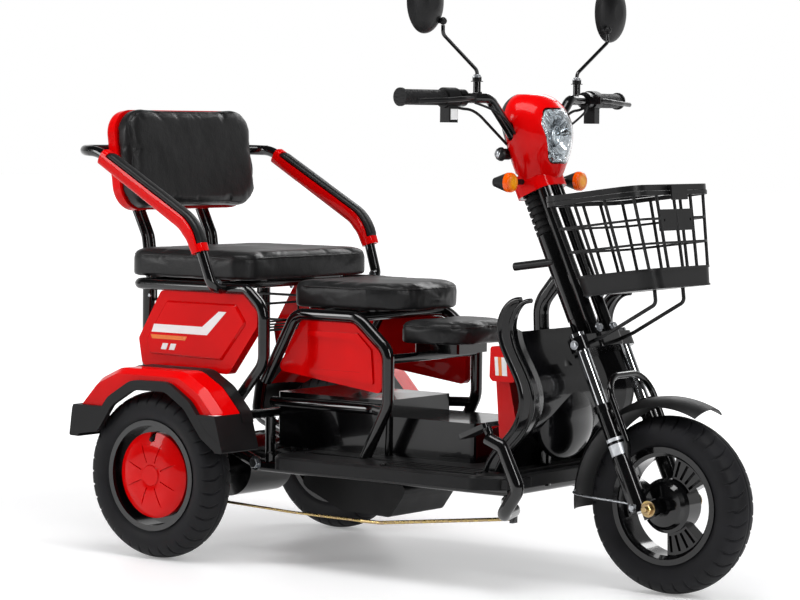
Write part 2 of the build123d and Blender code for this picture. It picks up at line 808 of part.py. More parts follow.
def rear_fenders():
    shell = fender_body(0) - Pos(0, 1, 0) * fender_body(skin)
    shell -= extrude(wheel_opening(flare_width), 500)
    return both_sides(shell & block((-400, 400), (-500, 0), (fender_split, 500)))


def fender_flares():
    # Black lip round the arch, the lower ends front and rear, and the strip on the inner side.
    inner = loop_spread / 2 + loop_radius + fit_gap
    lip = Pos(0, -fender_outer - fit_gap, 0) * extrude(wheel_opening(flare_width + 6), flare_outer - fender_outer)
    lip &= block((-400, 400), (-500, 0), (262, 500))
    strip = Pos(0, -inner, 0) * extrude(fender_profile(2), fender_strip - inner - fit_gap)
    strip -= extrude(fender_profile(-skin), 500)
    strip &= block((-400, 400), (-500, 0), (fender_split - 20, 500))
    ends = Pos(0, -inner, 0) * extrude(fender_profile(0), flare_outer - inner)
    ends -= extrude(fender_profile(-skin), fender_outer)
    ends &= block((-400, 400), (-500, 0), (200, fender_split - fit_gap))
    return both_sides(lip + strip + ends - extrude(wheel_opening(0), 500))


def footboard():
    half = floor_half_width
    points = [(floor_rear, -half + 40), (floor_rear + 30, -half), (floor_front - 60, -half),
              (floor_front, -half + 40), (floor_front, half - 40), (floor_front - 60, half),
              (floor_rear + 30, half), (floor_rear, half - 40)]
    thickness = floor_thickness - floor_rib
    board = extrude(outline(points, 30), thickness)
    board = chamfer(board.edges().group_by(Axis.Z)[-1], 5)
    for number in range(3):
        y = -half + 24 + 22 * number
        board += both_sides(block((floor_front - 320, floor_front - 74), (y, y + 9), (thickness - 2, floor_thickness)))
    board += block((floor_rear + 40, floor_front - 30), (-half + 92, half - 92), (thickness - 2, floor_thickness))
    for y in (-half + 44, -half + 92):
        board += both_sides(block((floor_front - 8, floor_front + 14), (y - 18, y + 18), (4, thickness - 6), 5))
    board -= along(down_tube + hole_gap, (-1, floor_thickness + 1), floor_front - down_tube_inset)
    return Pos(0, 0, floor_top - floor_thickness) * board


def shield_line(shift):
    # The curve of the shield's rear edge seen from the side, moved forward by some amount.
    return [(x + shift, z) for x, z in (
        (789, floor_top + fit_gap), (826, 302), (856, 335), (877, 399), (849, 470), (820, 551), (847, 598),
        (871, shield_top))]


def shield_band(rear, front):
    # The face between the rear edge's curve moved forward by two amounts.
    near, far = shield_line(rear), shield_line(front)
    return make_face([Spline(*near), Line(near[-1], far[-1]), Spline(*reversed(far)), Line(far[0], near[0])])


def shield_section(y, shift):
    return Pos(0, y, 0) * (Plane.XZ * shield_band(shift, shift + shield_wall))


def leg_shield():
    # Deep side walls with a rounded edge, a front face that dips to a flat middle, and an oval bulge.
    half = shield_half_width
    wall = Pos(0, -half + shield_wall, 0) * extrude(Plane.XZ * shield_band(0, shield_depth + shield_wall), shield_wall)
    slope = loft([
        shield_section(-half + 1, shield_depth), shield_section(-half + 26, shield_depth - 3),
        shield_section(-shield_middle - 12, 6), shield_section(-shield_middle, shield_wall),
    ], ruled=True)
    shield = both_sides(wall + slope)
    middle = Plane.XZ * shield_band(shield_wall, 2 * shield_wall)
    shield += Pos(0, shield_middle + 1, 0) * extrude(middle, 2 * shield_middle + 2)
    for shift, radius in ((2, 7), (shield_depth + 2, 5)):
        path = Pos(0, -half + 3, 0) * (Plane.XZ * Spline(*shield_line(shift)))
        bead = sweep(Plane(origin=path @ 0, z_dir=path % 0) * Circle(radius), path=path)
        shield += both_sides(bead)
    bulge = Pos(858, 0, 350) * scale(Sphere(1), by=(38, 104, 92))
    front = Pos(0, 120, 0) * extrude(Plane.XZ * shield_band(2 * shield_wall - 2, 120), 240)
    shield += bulge & front
    shield &= block((700, 1000), (-260, 260), (floor_top + fit_gap, 700))
    reach = math.hypot(riser_offset, riser_spread / 2) + riser_radius + run_gap
    shield -= column.location * along(reach, (crown_bottom, head_tube_top + 60))
    # room for the rear corners of the basket floor at full lock
    corner = basket_point(basket_floor_shift - basket_floor_length / 2 + 30, basket_floor_width / 2 + 2, -basket_depth)
    corner = column.to_local_coords(corner)
    swing = math.hypot(corner.X, corner.Y) + run_gap
    shield -= column.location * along(swing, (corner.Z - run_gap, head_tube_top + 60))
    return shield - bar(down_tube_points(), down_tube + hole_gap, [60, 60])


def inner_panel():
    # Red rear face of the shield with a pocket at the top and a ridge over the frame tube.
    column_face = [(742, 430), (776, 424), (803, 303), (794, floor_top + 12), (786, floor_top + 12),
                   (770, floor_top + fit_gap), (757, floor_top + fit_gap)]
    panel = side_plate(column_face, 3, (-88, 88))
    pocket = side_plate([(738, 498), (736, 432), (744, 424), (800, 424), (800, 498)], 6, (-104, 104))
    pocket -= block((746, 792), (-96, 96), (434, 500))
    panel += pocket
    return panel - bar(down_tube_points(), down_tube + hole_gap, [60, 60])


def battery_box():
    # The battery under the middle seat, with a ledge along each side, and the box ahead of it.
    rear = 150 + frame_tube + hole_gap
    box = block((rear, 478), (-115, 115), (floor_top + fit_gap, battery_top), 10)
    box += block((rear + 10, 470), (-119, 119), (battery_top - 34, battery_top - 12))
    return box + block((470, 700), (-104, 104), (floor_top + fit_gap, 330), 12)


def underfloor_pan():
    # The deep tray that hangs under the floor between the frame rails, with slots for the cross tubes.
    reach = frame_tube - 2 + hole_gap
    top = rail_z - reach - 2
    points = [(196, top), (240, 151), (336, 112), (470, 108), (500, 150), (520, top)]
    pan = side_plate(points, 14, (-96, 96))
    pan += block((200, 510), (-60, 60), (top - 5, floor_top - floor_thickness - fit_gap))
    for x in frame_crosses():
        pan -= block((x - reach, x + reach), (-61, 61), (rail_z - reach, floor_top))
    return pan


def rear_axle():
    # Axle tube with the gear motor in the middle, saddles under the rails and the brake plates.
    tube_end = rear_wheel_y - bead_width / 2 - 2
    axle = across(axle_tube, (-tube_end, tube_end), 0, tyre_radius)
    axle += across(70, (-90, 60), 0, tyre_radius)
    saddle = block((-20, 20), (-rail_y - 12, -rail_y + 12), (tyre_radius, 262))
    plate = across(58, (-tube_end, -tube_end + 7), 0, tyre_radius)
    lever = bar([(44, -tube_end + 5, tyre_radius - 20), (68, -tube_end + 22, tyre_radius - 52)], 6)
    axle += both_sides(saddle + plate + lever)
    axle -= both_sides(bar(rail_points(), frame_tube + fit_gap, [50, 50, 60]))
    for y in ((-tube_end - 1, -tube_end + shaft_reach + 4), (tube_end - shaft_reach - 4, tube_end + 1)):
        axle -= across(shaft_radius + fit_gap, y, 0, tyre_radius)
    return axle


def pedal_tab():
    # Where the brake rod meets the pedal shaft.
    x = floor_front - down_tube_inset
    return x + 30, -152, 144


def brake_rods():
    x, y, z = pedal_tab()
    tube_end = rear_wheel_y - bead_width / 2 - 2
    start = (74.4, -tube_end + 22, tyre_radius - 52)
    rod = bar([start, (300, -226, 118), (470, -200, 112)], 3, [200])
    return rod + bar([(470, -200, 112), (520, -198, 112), (x - 4 - fit_gap, y, z)], 4, [60])


def brake_pedal():
    x = floor_front - down_tube_inset
    z = rail_z - frame_tube - pedal_radius - fit_gap
    tab_x, tab_y, tab_z = pedal_tab()
    pedal = bar([(x - 20, -104, z), (870, -200, z), (900, -285, z), (940, -285, 228), (898, -285, 312),
                 (862, -285, 326)], pedal_radius, [40, 30, 24, 16])
    pedal += block((tab_x - 4, tab_x + 4), (tab_y - 9, tab_y + 9), (tab_z - 8, z))
    pedal += Pos(864, -282, 334) * Rot(0, -24, 0) * along(9, (-8, 16))
    return pedal + Pos(838, -278, 342) * Rot(0, -24, 0) * block((-42, 34), (-26, 26), (-5, 5), 8)


def parking_brake_handle():
    x, z = column_point(head_tube_top - 60)
    handle = bar([(x, -20, z - 2), (x - 100, -20, z - 16)], 9)
    return handle - column.location * along(head_tube_radius + fit_gap, (head_tube_bottom, head_tube_top))


# ---- seats ----
def cushion(front, rear, half_width, bottom, thickness, corner, front_corner, round_over=14):
    points = [(rear, -half_width), (front, -half_width), (front, half_width), (rear, half_width)]
    pad = extrude(outline(points, [corner, front_corner, front_corner, corner]), thickness)
    pad = fillet(pad.edges().group_by(Axis.Z)[-1], round_over)
    return Pos(0, 0, bottom) * pad


def rear_seat_cushion():
    return cushion(rear_seat_front, rear_seat_rear, rear_seat_half_width, rear_seat_bottom,
                   rear_seat_thickness, 50, 50)


def middle_seat_cushion():
    return cushion(middle_seat_front, middle_seat_rear, middle_seat_half_width, middle_seat_bottom,
                   middle_seat_thickness, 30, 110)


def front_seat_cushion():
    return cushion(front_seat_front, front_seat_rear, front_seat_half_width, front_seat_bottom,
                   front_seat_thickness, 24, 90)


def seat_bases():
    base = block((rear_seat_rear + 20, rear_seat_front - 20), (-150, 150),
                 (seat_rail_height + loop_radius + fit_gap, rear_seat_bottom - fit_gap), 30)
    base += block((middle_seat_rear + 30, middle_seat_front - 90), (-120, 120),
                  (hoop_height + cross_bar + fit_gap, middle_seat_bottom - fit_gap), 20)
    base += block((front_seat_rear + 2, front_seat_front - 50), (-60, 60),
                  (460 + cross_bar + fit_gap, front_seat_bottom - fit_gap), 10)
    return base


def on_back(solid):
    return Pos(back_x, 0, back_bottom + back_height / 2) * Rot(0, -back_lean, 0) * solid


def backrest_cushion():
    face = Plane.YZ * RectangleRounded(2 * back_half_width, back_height, 60)
    pad = extrude(face, back_thickness)
    pad = fillet(pad.edges().group_by(Axis.X)[-1], 14)
    return on_back(pad)


def backrest_shell():
    face = Plane.YZ * RectangleRounded(2 * back_half_width - 6, back_height - 6, 57)
    shell = extrude(face, -back_shell + fit_gap)
    shell = fillet(shell.edges().group_by(Axis.X)[0], 12)
    return on_back(Pos(-fit_gap, 0, 0) * shell)


def armrest_path(side=-1):
    y = side * armrest_spread / 2
    foot = side * (loop_spread / 2 + loop_radius + fit_gap)
    return [(128, foot, seat_rail_height), (128, y * 0.97, seat_rail_height + 2), (80, y, 738),
            (-205, y, 896), (loop_x, y, armrest_height)]


def armrest_tube():
    right = armrest_path()
    left = [(x, -y, z) for x, y, z in reversed(right)]
    return bar(right + left, arm_tube, [24, 90, 90, 60, 60, 90, 90, 24])


def backrest_posts():
    posts = None
    for y in (99, 121):
        post = bar([(loop_rear - loop_radius - fit_gap, -y, seat_rail_height), (-214, -y, seat_rail_height),
                    (-228, -y, 700), (loop_x, -y, 800),
                    (loop_x, -y, armrest_height - arm_tube - fit_gap)], post_radius, [16, 60, 60])
        posts = post if posts is None else posts + post
    plate = block((-back_shell - 22, -back_shell - 2 * fit_gap), (-134, 134), (-14, 14))
    return both_sides(posts) + on_back(plate)


def armrest_sleeve(radius, side):
    # Half a sleeve that follows the armrest from below its front bend to the rear, above the tube or below.
    foot, bend, high = (Vector(*point) for point in armrest_path()[1:4])
    start = bend + (foot - bend).normalized() * 62
    end = high + (bend - high).normalized() * 22
    path = FilletPolyline(start, bend, end, radius=90)
    direction = path % 0
    place = Plane(origin=start, z_dir=direction, x_dir=direction.cross(Vector(0, 1, 0)))
    ring = Circle(radius) - Circle(arm_tube + fit_gap)
    half = Pos(side * (radius + fit_gap / 2), 0) * Rectangle(2 * radius, 3 * radius)
    return both_sides(sweep(place * (ring & half), path=path))


def armrest_covers():
    return armrest_sleeve(arm_tube + 5, -1)


def armrest_pads():
    return armrest_sleeve(arm_tube + 7, 1)


def rear_wire_basket():
    # A wire tray that hangs from the two cross tubes under the rear seat.
    half = tray_half_width
    ends = (loop_rear - 20, loop_cross + 70)
    rods = None
    for z in (tray_floor, tray_rim):
        for y in (-half, half):
            rod = Pos(sum(ends) / 2, y, z) * Rot(0, 90, 0) * Cylinder(3, ends[1] - ends[0] + 6)
            rods = rod if rods is None else rods + rod
        for x in ends:
            rods += across(2.7, (-half, half), x, z)
    steps = 5
    for number in range(1, steps):
        rods += across(2, (-half, half), ends[0] + (ends[1] - ends[0]) * number / steps, tray_floor)
    for x in ends:
        for y in (-half, 0, half):
            rods += along(2.5, (tray_floor, tray_rim), x, y)
    for x, tube in ((loop_rear, loop_radius), (loop_cross, cross_bar)):
        for y in (-half, half):
            rods += along(2.5, (tray_rim, seat_rail_height - tube - fit_gap), x, y)
    return rods


bodies = {
    "main_frame": main_frame, "side_hoops": side_hoops, "seat_loops": seat_loops,
    "rear_side_panels": rear_side_panels, "middle_side_panels": middle_side_panels,
    "rear_fenders": rear_fenders, "fender_flares": fender_flares, "footboard": footboard,
    "leg_shield": leg_shield, "inner_panel": inner_panel, "battery_box": battery_box,
    "underfloor_pan": underfloor_pan,
    "rear_axle": rear_axle, "brake_rods": brake_rods, "brake_pedal": brake_pedal,
    "parking_brake_handle": parking_brake_handle, "seat_bases": seat_bases,
    "rear_seat_cushion": rear_seat_cushion, "middle_seat_cushion": middle_seat_cushion,
    "front_seat_cushion": front_seat_cushion, "backrest_cushion": backrest_cushion,
    "backrest_shell": backrest_shell, "backrest_posts": backrest_posts, "armrest_tube": armrest_tube,
    "armrest_covers": armrest_covers, "armrest_pads": armrest_pads, "rear_wire_basket": rear_wire_basket,
    "front_fender": front_fender, "handlebar": handlebar, "grips": grips, "brake_levers": brake_levers,
    "control_housings": control_housings, "mirror_stems": mirror_stems, "mirror_heads": mirror_heads,
    "mirror_glasses": mirror_glasses, "headlamp_cowl": headlamp_cowl, "headlamp_lens": headlamp_lens,
    "headlamp_reflector": headlamp_reflector, "cowl_back_panel": cowl_back_panel,
    "indicator_pods": indicator_pods, "indicator_lenses": indicator_lenses,
    "basket_supports": basket_supports,
}
on_column = {
    "fork_crown": fork_crown, "column_tubes": column_tubes, "fork_stanchions": fork_stanchions, "fork_lowers": fork_lowers,
    "steering_boot": steering_boot,
}
on_basket = {"front_basket": front_basket, "basket_lid": basket_lid}


def save(name, solid):
    export_step(Pos(-middle_x, 0, 0) * solid, f"parts/{name}.step")
    print(f"{name:24s} {solid.volume / 1000:9.1f} cm3")


os.makedirs("parts", exist_ok=True)
for name, make in bodies.items():
    save(name, make())
for name, make in on_column.items():
    save(name, column.location * make())
for name, make in on_basket.items():
    save(name, basket_frame.location * make())

save("front_tyre", Pos(wheel_base, 0, tyre_radius) * tyre())
save("front_wheel", Pos(wheel_base, 0, tyre_radius) * front_wheel())
for side, turn in (("left", 0), ("right", 180)):
    place = Pos(0, rear_wheel_y if side == "left" else -rear_wheel_y, tyre_radius) * Rot(0, 0, turn)
    save(f"rear_tyre_{side}", place * tyre())
    save(f"rear_wheel_{side}", place * rear_wheel())
    save(f"hubcap_{side}", place * hubcap())
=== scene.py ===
import json
import math
import bmesh
import bpy
import numpy as np
from mathutils import Matrix, Vector


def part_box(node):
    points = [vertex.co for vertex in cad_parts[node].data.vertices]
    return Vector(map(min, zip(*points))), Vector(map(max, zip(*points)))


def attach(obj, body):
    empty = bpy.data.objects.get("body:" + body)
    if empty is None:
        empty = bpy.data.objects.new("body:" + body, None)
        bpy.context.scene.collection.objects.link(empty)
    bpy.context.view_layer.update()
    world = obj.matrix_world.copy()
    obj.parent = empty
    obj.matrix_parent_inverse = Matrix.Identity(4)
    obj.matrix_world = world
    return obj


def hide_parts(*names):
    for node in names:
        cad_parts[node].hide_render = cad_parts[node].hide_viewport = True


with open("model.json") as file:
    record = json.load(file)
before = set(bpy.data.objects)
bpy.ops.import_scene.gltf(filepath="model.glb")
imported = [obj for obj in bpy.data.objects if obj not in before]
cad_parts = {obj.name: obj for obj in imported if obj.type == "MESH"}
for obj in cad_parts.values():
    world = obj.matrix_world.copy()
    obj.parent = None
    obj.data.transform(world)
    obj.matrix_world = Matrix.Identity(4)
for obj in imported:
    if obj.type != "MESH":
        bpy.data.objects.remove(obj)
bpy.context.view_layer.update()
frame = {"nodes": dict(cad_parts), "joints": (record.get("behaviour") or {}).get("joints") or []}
nodes = frame["nodes"]
joints = {joint["name"]: joint for joint in frame["joints"]}
scene = bpy.context.scene
scene.view_settings.view_transform = "Standard"
print("frame loaded:", len(nodes), "nodes")


def addObject(name, data):
    thing = bpy.data.objects.new(name, data)
    scene.collection.objects.link(thing)
    return thing


# camera: low and to the front right, with a long lens
camera = {"place": (3.7375, -5.072, 0.972), "azimuth": 37.06, "elevation": 3.56, "roll": 0.58,
          "lens": 129.87, "sensor": 36.0}
azimuth, elevation, roll = (math.radians(camera[key]) for key in ("azimuth", "elevation", "roll"))
look = Vector((-math.sin(azimuth) * math.cos(elevation), math.cos(azimuth) * math.cos(elevation),
               -math.sin(elevation)))
right = Vector((math.cos(azimuth), math.sin(azimuth), 0))
upward = right.cross(look)
cosine, sine = math.cos(roll), math.sin(roll)
turned = Matrix((right * cosine + upward * sine, upward * cosine - right * sine, -look))
cameraObject = addObject("camera", bpy.data.cameras.new("camera"))
cameraObject.matrix_world = Matrix.Translation(camera["place"]) @ turned.transposed().to_4x4()
cameraObject.data.lens = camera["lens"]
cameraObject.data.sensor_width = camera["sensor"]
scene.camera = cameraObject


def linear(hexColour):
    # an sRGB hex value turned to the linear numbers that the shaders mix
    channels = np.array([int(hexColour[i:i + 2], 16) for i in (1, 3, 5)]) / 255
    values = np.where(channels <= 0.04045, channels / 12.92, ((channels + 0.055) / 1.055) ** 2.4)
    return (*values.tolist(), 1.0)


def addNode(tree, kind, values=(), links=(), **settings):
    node = tree.nodes.new("ShaderNode" + kind)
    for key, value in settings.items():
        setattr(node, key, value)
    for key, value in dict(values).items():
        node.inputs[key].default_value = value
    for key, socket in dict(links).items():
        tree.links.new(socket, node.inputs[key])
    return node


def calculate(tree, operation, *terms):
    # a Math node whose terms are sockets or numbers
    numbers = {place: term for place, term in enumerate(terms) if isinstance(term, float)}
    sockets = {place: term for place, term in enumerate(terms) if place not in numbers}
    return addNode(tree, "Math", numbers, sockets, operation=operation).outputs[0]


def remap(tree, socket, fromSpan, toSpan=(0.0, 1.0), shape="LINEAR"):
    # a Map Range node that carries one span of values to another
    limits = dict(zip((1, 2, 3, 4), (*fromSpan, *toSpan)))
    return addNode(tree, "MapRange", limits, {0: socket}, interpolation_type=shape).outputs[0]


def newMaterial(name):
    material = bpy.data.materials.new(name)
    material.use_nodes = True
    tree = material.node_tree
    return material, tree, tree.nodes["Principled BSDF"]


stage = {"size": 60.0, "white": "#F0F0F1", "roughness": 0.4, "distance": (1.3, 3.6), "lift": (0.22, 0.75)}


def makeStage():
    mesh = bpy.data.meshes.new("floor")
    half = stage["size"] / 2
    corners = [(-half, -half, 0), (half, -half, 0), (half, half, 0), (-half, half, 0)]
    mesh.from_pydata(corners, [], [(0, 1, 2, 3)])
    floor = addObject("floor", mesh)
    material, tree, shader = newMaterial("whiteStudioFloor")
    shader.inputs["Base Color"].default_value = linear(stage["white"])
    shader.inputs["Roughness"].default_value = stage["roughness"]
    # camera rays and reflections see the white a little lifted, and the shadow stays in it
    rays = addNode(tree, "LightPath").outputs
    seen = calculate(tree, "MAXIMUM", rays["Is Camera Ray"], rays["Is Glossy Ray"])
    seen = calculate(tree, "MAXIMUM", seen, rays["Is Transmission Ray"])
    # the lift grows away from the machine, so that the floor runs into the white behind it
    place = addNode(tree, "TexCoord").outputs["Object"]
    away = addNode(tree, "VectorMath", {}, {0: place}, operation="LENGTH").outputs["Value"]
    grow = remap(tree, away, stage["distance"], stage["lift"], "SMOOTHSTEP")
    glow = addNode(tree, "Emission", {}, {"Strength": calculate(tree, "MULTIPLY", seen, grow)})
    both = addNode(tree, "AddShader", {}, {0: shader.outputs[0], 1: glow.outputs[0]})
    tree.links.new(both.outputs[0], tree.nodes["Material Output"].inputs["Surface"])
    mesh.materials.append(material)


sky = {"cameraSide": (0.6, -0.8, 0.0), "facing": (0.1, -0.7), "height": (0.2, 0.75), "fill": 0.46,
       "room": (0.03, 0.8)}


def makeWorld():
    # white where the camera looks; reflections see a bright backdrop low behind the machine and a
    # dim room above and behind the camera
    world = bpy.data.worlds.new("studio")
    scene.world = world
    world.use_nodes = True
    tree = world.node_tree
    background = tree.nodes["Background"]
    rays = addNode(tree, "LightPath").outputs
    place = addNode(tree, "TexCoord").outputs["Generated"]
    facing = addNode(tree, "VectorMath", {1: sky["cameraSide"]}, {0: place}, operation="DOT_PRODUCT")
    behind = remap(tree, facing.outputs["Value"], sky["facing"], shape="SMOOTHSTEP")
    axes = addNode(tree, "SeparateXYZ", {}, {0: place})
    low = remap(tree, axes.outputs["Z"], sky["height"], (1.0, 0.0), "SMOOTHSTEP")
    room = remap(tree, calculate(tree, "MULTIPLY", behind, low), (0.0, 1.0), sky["room"])
    glossy = addNode(tree, "Mix", {2: sky["fill"]}, {0: rays["Is Glossy Ray"], 3: room})
    through = calculate(tree, "MAXIMUM", rays["Is Camera Ray"], rays["Is Transmission Ray"])
    strength = addNode(tree, "Mix", {3: 1.0}, {0: through, 2: glossy.outputs[0]})
    tree.links.new(strength.outputs[0], background.inputs["Strength"])
    background.inputs["Color"].default_value = (1, 1, 1, 1)


softboxes = {
    "over": {"place": (0.2, -0.7, 3.1), "aim": (0.0, 0.0, 0.6), "size": (2.4, 1.2), "power": 56},
    "rearSide": {"place": (-2.3, -2.7, 1.7), "aim": (-0.3, -0.2, 0.5), "size": (0.7, 1.9), "power": 38},
    "frontSide": {"place": (3.1, -0.7, 1.9), "aim": (0.5, 0.0, 0.6), "size": (0.5, 1.9), "power": 32},
    "back": {"place": (-0.6, 3.0, 2.4), "aim": (0.0, 0.0, 0.7), "size": (2.0, 0.8), "power": 26},
}


def makeLights():
    for name, box in softboxes.items():
        lamp = bpy.data.lights.new(name, "AREA")
        lamp.shape = "RECTANGLE"
        lamp.size, lamp.size_y = box["size"]
        lamp.energy = box["power"]
        lampObject = addObject(name, lamp)
        place = Vector(box["place"])
        turn = (Vector(box["aim"]) - place).to_track_quat("-Z", "Y")
        lampObject.matrix_world = Matrix.Translation(place) @ turn.to_matrix().to_4x4()


makeStage()
makeWorld()
makeLights()
print("stage, world and softboxes in place")

# colour and shade are mixed by a cloud of the given size in mm; each bump layer has a texture, a size
# in mm and a height in mm
finishes = {
    # injection-moulded ABS, painted and lacquered: clear sharp reflections over a deep red
    "lacqueredRed": {
        "colour": "#DC0204", "shade": "#CC0203", "cloud": 160, "rough": (0.16, 0.24),
        "bumps": [("Noise", 9, 0.01)],
        "shader": {"Coat Weight": 0.22, "Coat Roughness": 0.03, "Specular IOR Level": 0.06}},
    # polypropylene with a spark-eroded grain: a soft broad sheen, a little dust in the grain
    "grainedBlackPlastic": {
        "colour": "#101011", "shade": "#171718", "cloud": 60, "rough": (0.38, 0.5),
        "bumps": [("Noise", 3.2, 0.06)], "shader": {"Specular IOR Level": 0.22}},
    # the same plastic polished in the mould: black with a tight highlight
    "polishedBlackPlastic": {
        "colour": "#050506", "shade": "#08080A", "cloud": 90, "rough": (0.14, 0.22),
        "bumps": [("Noise", 14, 0.02)],
        "shader": {"Coat Weight": 0.4, "Coat Roughness": 0.04, "Specular IOR Level": 0.2}},
    # gloss powder coat on steel tube: faint orange peel that breaks up the highlight lines
    "powderCoat": {
        "colour": "#060607", "shade": "#0A0A0B", "cloud": 120, "rough": (0.12, 0.2),
        "bumps": [("Noise", 5, 0.02)],
        "shader": {"Coat Weight": 0.5, "Coat Roughness": 0.05, "IOR": 1.52, "Specular IOR Level": 0.3}},
    # satin dipped wire and castings: duller than the tubes
    "satinCoat": {
        "colour": "#0B0B0C", "shade": "#121213", "cloud": 40, "rough": (0.3, 0.42),
        "bumps": [("Noise", 4, 0.04)], "shader": {"Specular IOR Level": 0.3}},
    # embossed PVC leather: pebble grain drawn at 3.4 mm so that it shows, and soft broad creases
    "seatLeather": {
        "colour": "#0D0D0E", "shade": "#141415", "cloud": 80, "rough": (0.36, 0.5),
        "bumps": [("Voronoi", 3.4, 0.16), ("Noise", 46, 1.5), ("Noise", 12, 0.25)],
        "shader": {"Coat Weight": 0.1, "Coat Roughness": 0.3, "Sheen Weight": 0.02, "IOR": 1.48,
                   "Specular IOR Level": 0.28}},
    # moulded natural rubber: matt, a trace of grey bloom
    "tyreRubber": {
        "colour": "#141416", "shade": "#1C1C1F", "cloud": 50, "rough": (0.5, 0.66),
        "bumps": [("Noise", 3.0, 0.07)], "shader": {"Specular IOR Level": 0.2}},
    # soft thermoplastic rubber of grips, boot and pads
    "gripRubber": {
        "colour": "#141415", "shade": "#1B1B1C", "cloud": 30, "rough": (0.45, 0.6),
        "bumps": [("Noise", 2.6, 0.05)], "shader": {"Specular IOR Level": 0.22}},
    # decorative chromium plate: near mirror
    "chromePlate": {
        "colour": "#D9DADC", "shade": "#CDCFD2", "cloud": 60, "rough": (0.05, 0.1),
        "bumps": [("Noise", 20, 0.01)], "shader": {"Metallic": 1.0}},
    # aluminium vapour on a moulded reflector: a mirror whose colour is darkened in patches as painted
    # reflection of the dark room in front of it
    "lampMetallising": {
        "colour": "#C2C5C8", "shade": "#8A8E92", "cloud": 14, "rough": (0.05, 0.12),
        "bumps": [("Noise", 12, 0.02)], "shader": {"Metallic": 1.0}},
    # bright zinc plate on bolts and brackets: greyer, a little cloudy
    "brightZinc": {
        "colour": "#B9BBBE", "shade": "#989CA1", "cloud": 8, "rough": (0.24, 0.4),
        "bumps": [("Noise", 3, 0.03)], "shader": {"Metallic": 1.0}},
    # yellow chromated zinc on rods and axle nuts: warm, with pink and green drifts
    "yellowZinc": {
        "colour": "#C9B070", "shade": "#B39A78", "cloud": 9, "rough": (0.22, 0.36),
        "bumps": [("Noise", 3, 0.03)], "shader": {"Metallic": 1.0}},
    # silvered glass seen from the front
    "silveredGlass": {
        "colour": "#E6EAEE", "shade": "#DDE2E7", "cloud": 200, "rough": (0.02, 0.03), "bumps": [],
        "shader": {"Metallic": 1.0}},
    # polycarbonate lamp cover: clear, seen by its highlights
    "clearPolycarbonate": {
        "colour": "#F8FAFB", "shade": "#EFF3F5", "cloud": 80, "rough": (0.02, 0.04), "bumps": [],
        "shader": {"Transmission Weight": 1.0, "IOR": 1.2}},
    # self-adhesive reflective film: bright silver with a fine honeycomb
    "reflectiveFilm": {
        "colour": "#E9EBEE", "shade": "#CFD3D8", "cloud": 14, "rough": (0.28, 0.36),
        "bumps": [("Voronoi", 2.2, 0.04)], "shader": {"Metallic": 0.35}},
    # printed vinyl, white and orange
    "whiteVinyl": {
        "colour": "#F6F6F6", "shade": "#EEEEEE", "cloud": 40, "rough": (0.2, 0.28),
        "bumps": [("Noise", 12, 0.01)], "shader": {"Coat Weight": 0.4, "Coat Roughness": 0.08}},
}
finishes["orangeVinyl"] = {**finishes["whiteVinyl"], "colour": "#F07A10", "shade": "#E87008"}
# the part of the noise's range that the cloud of tint and that of roughness run over
cloudSpan = {"tint": (0.35, 0.65), "rough": (0.3, 0.7)}
millimetre = 0.001


def press(tree, height, depth, under=None):
    # the normal that bump of a depth in mm gives, laid over another normal where there is one
    links = {"Height": height} if under is None else {"Height": height, "Normal": under}
    bump = addNode(tree, "Bump", {"Strength": 1.0, "Distance": depth * millimetre}, links)
    return bump.outputs["Normal"]


def tintBy(tree, share, colour, shade):
    mix = addNode(tree, "Mix", {6: linear(colour), 7: linear(shade)}, {0: share}, data_type="RGBA")
    return mix.outputs[2]


def makeFinish(name):
    recipe = finishes[name]
    material, tree, shader = newMaterial(name)
    for socket, value in recipe["shader"].items():
        shader.inputs[socket].default_value = value
    place = addNode(tree, "TexCoord").outputs["Object"]
    cloud = addNode(tree, "TexNoise", {"Scale": 1 / (recipe["cloud"] * millimetre), "Detail": 3.0},
                    {"Vector": place}).outputs["Fac"]
    tint = tintBy(tree, remap(tree, cloud, cloudSpan["tint"]), recipe["colour"], recipe["shade"])
    tree.links.new(tint, shader.inputs["Base Color"])
    polish = remap(tree, cloud, cloudSpan["rough"], recipe["rough"])
    tree.links.new(polish, shader.inputs["Roughness"])
    normal = None
    for kind, size, height in recipe["bumps"]:
        texture = addNode(tree, "Tex" + kind, {"Scale": 1 / (size * millimetre)}, {"Vector": place})
        normal = press(tree, texture.outputs["Distance" if kind == "Voronoi" else "Fac"], height, normal)
    if normal:
        tree.links.new(normal, shader.inputs["Normal"])
    return material


made = {name: makeFinish(name) for name in finishes}


def copyFinish(name, newName):
    # a finish to change further: its material, tree, shader and the socket of its coordinates
    material = made[name].copy()
    material.name = newName
    tree = material.node_tree
    shader = tree.nodes["Principled BSDF"]
    place = next(node for node in tree.nodes if node.type == "TEX_COORD").outputs["Object"]
    return material, tree, shader, place


nodeFinish = {
    "powderCoat": ["main_frame", "side_hoops", "seat_loops", "rear_axle", "backrest_posts", "armrest_tube",
                   "fork_crown", "column_tubes", "handlebar", "mirror_stems", "brake_pedal", "seat_bases",
                   "rear_wheel_left", "rear_wheel_right", "front_wheel", "fork_lowers"],
    "satinCoat": ["basket_supports", "rear_wire_basket", "brake_levers", "parking_brake_handle",
                  "front_basket", "basket_lid"],
    "lacqueredRed": ["rear_side_panels", "middle_side_panels", "rear_fenders", "backrest_shell",
                     "inner_panel", "headlamp_cowl", "hubcap_left", "hubcap_right"],
    "grainedBlackPlastic": ["fender_flares", "control_housings", "cowl_back_panel", "indicator_pods",
                            "mirror_heads", "underfloor_pan", "front_fender", "footboard"],
    "polishedBlackPlastic": ["leg_shield", "battery_box"],
    "gripRubber": ["steering_boot"],
    "chromePlate": ["fork_stanchions"],
    "yellowZinc": ["brake_rods"],
    "silveredGlass": ["mirror_glasses"],
    "clearPolycarbonate": ["headlamp_lens"],
}


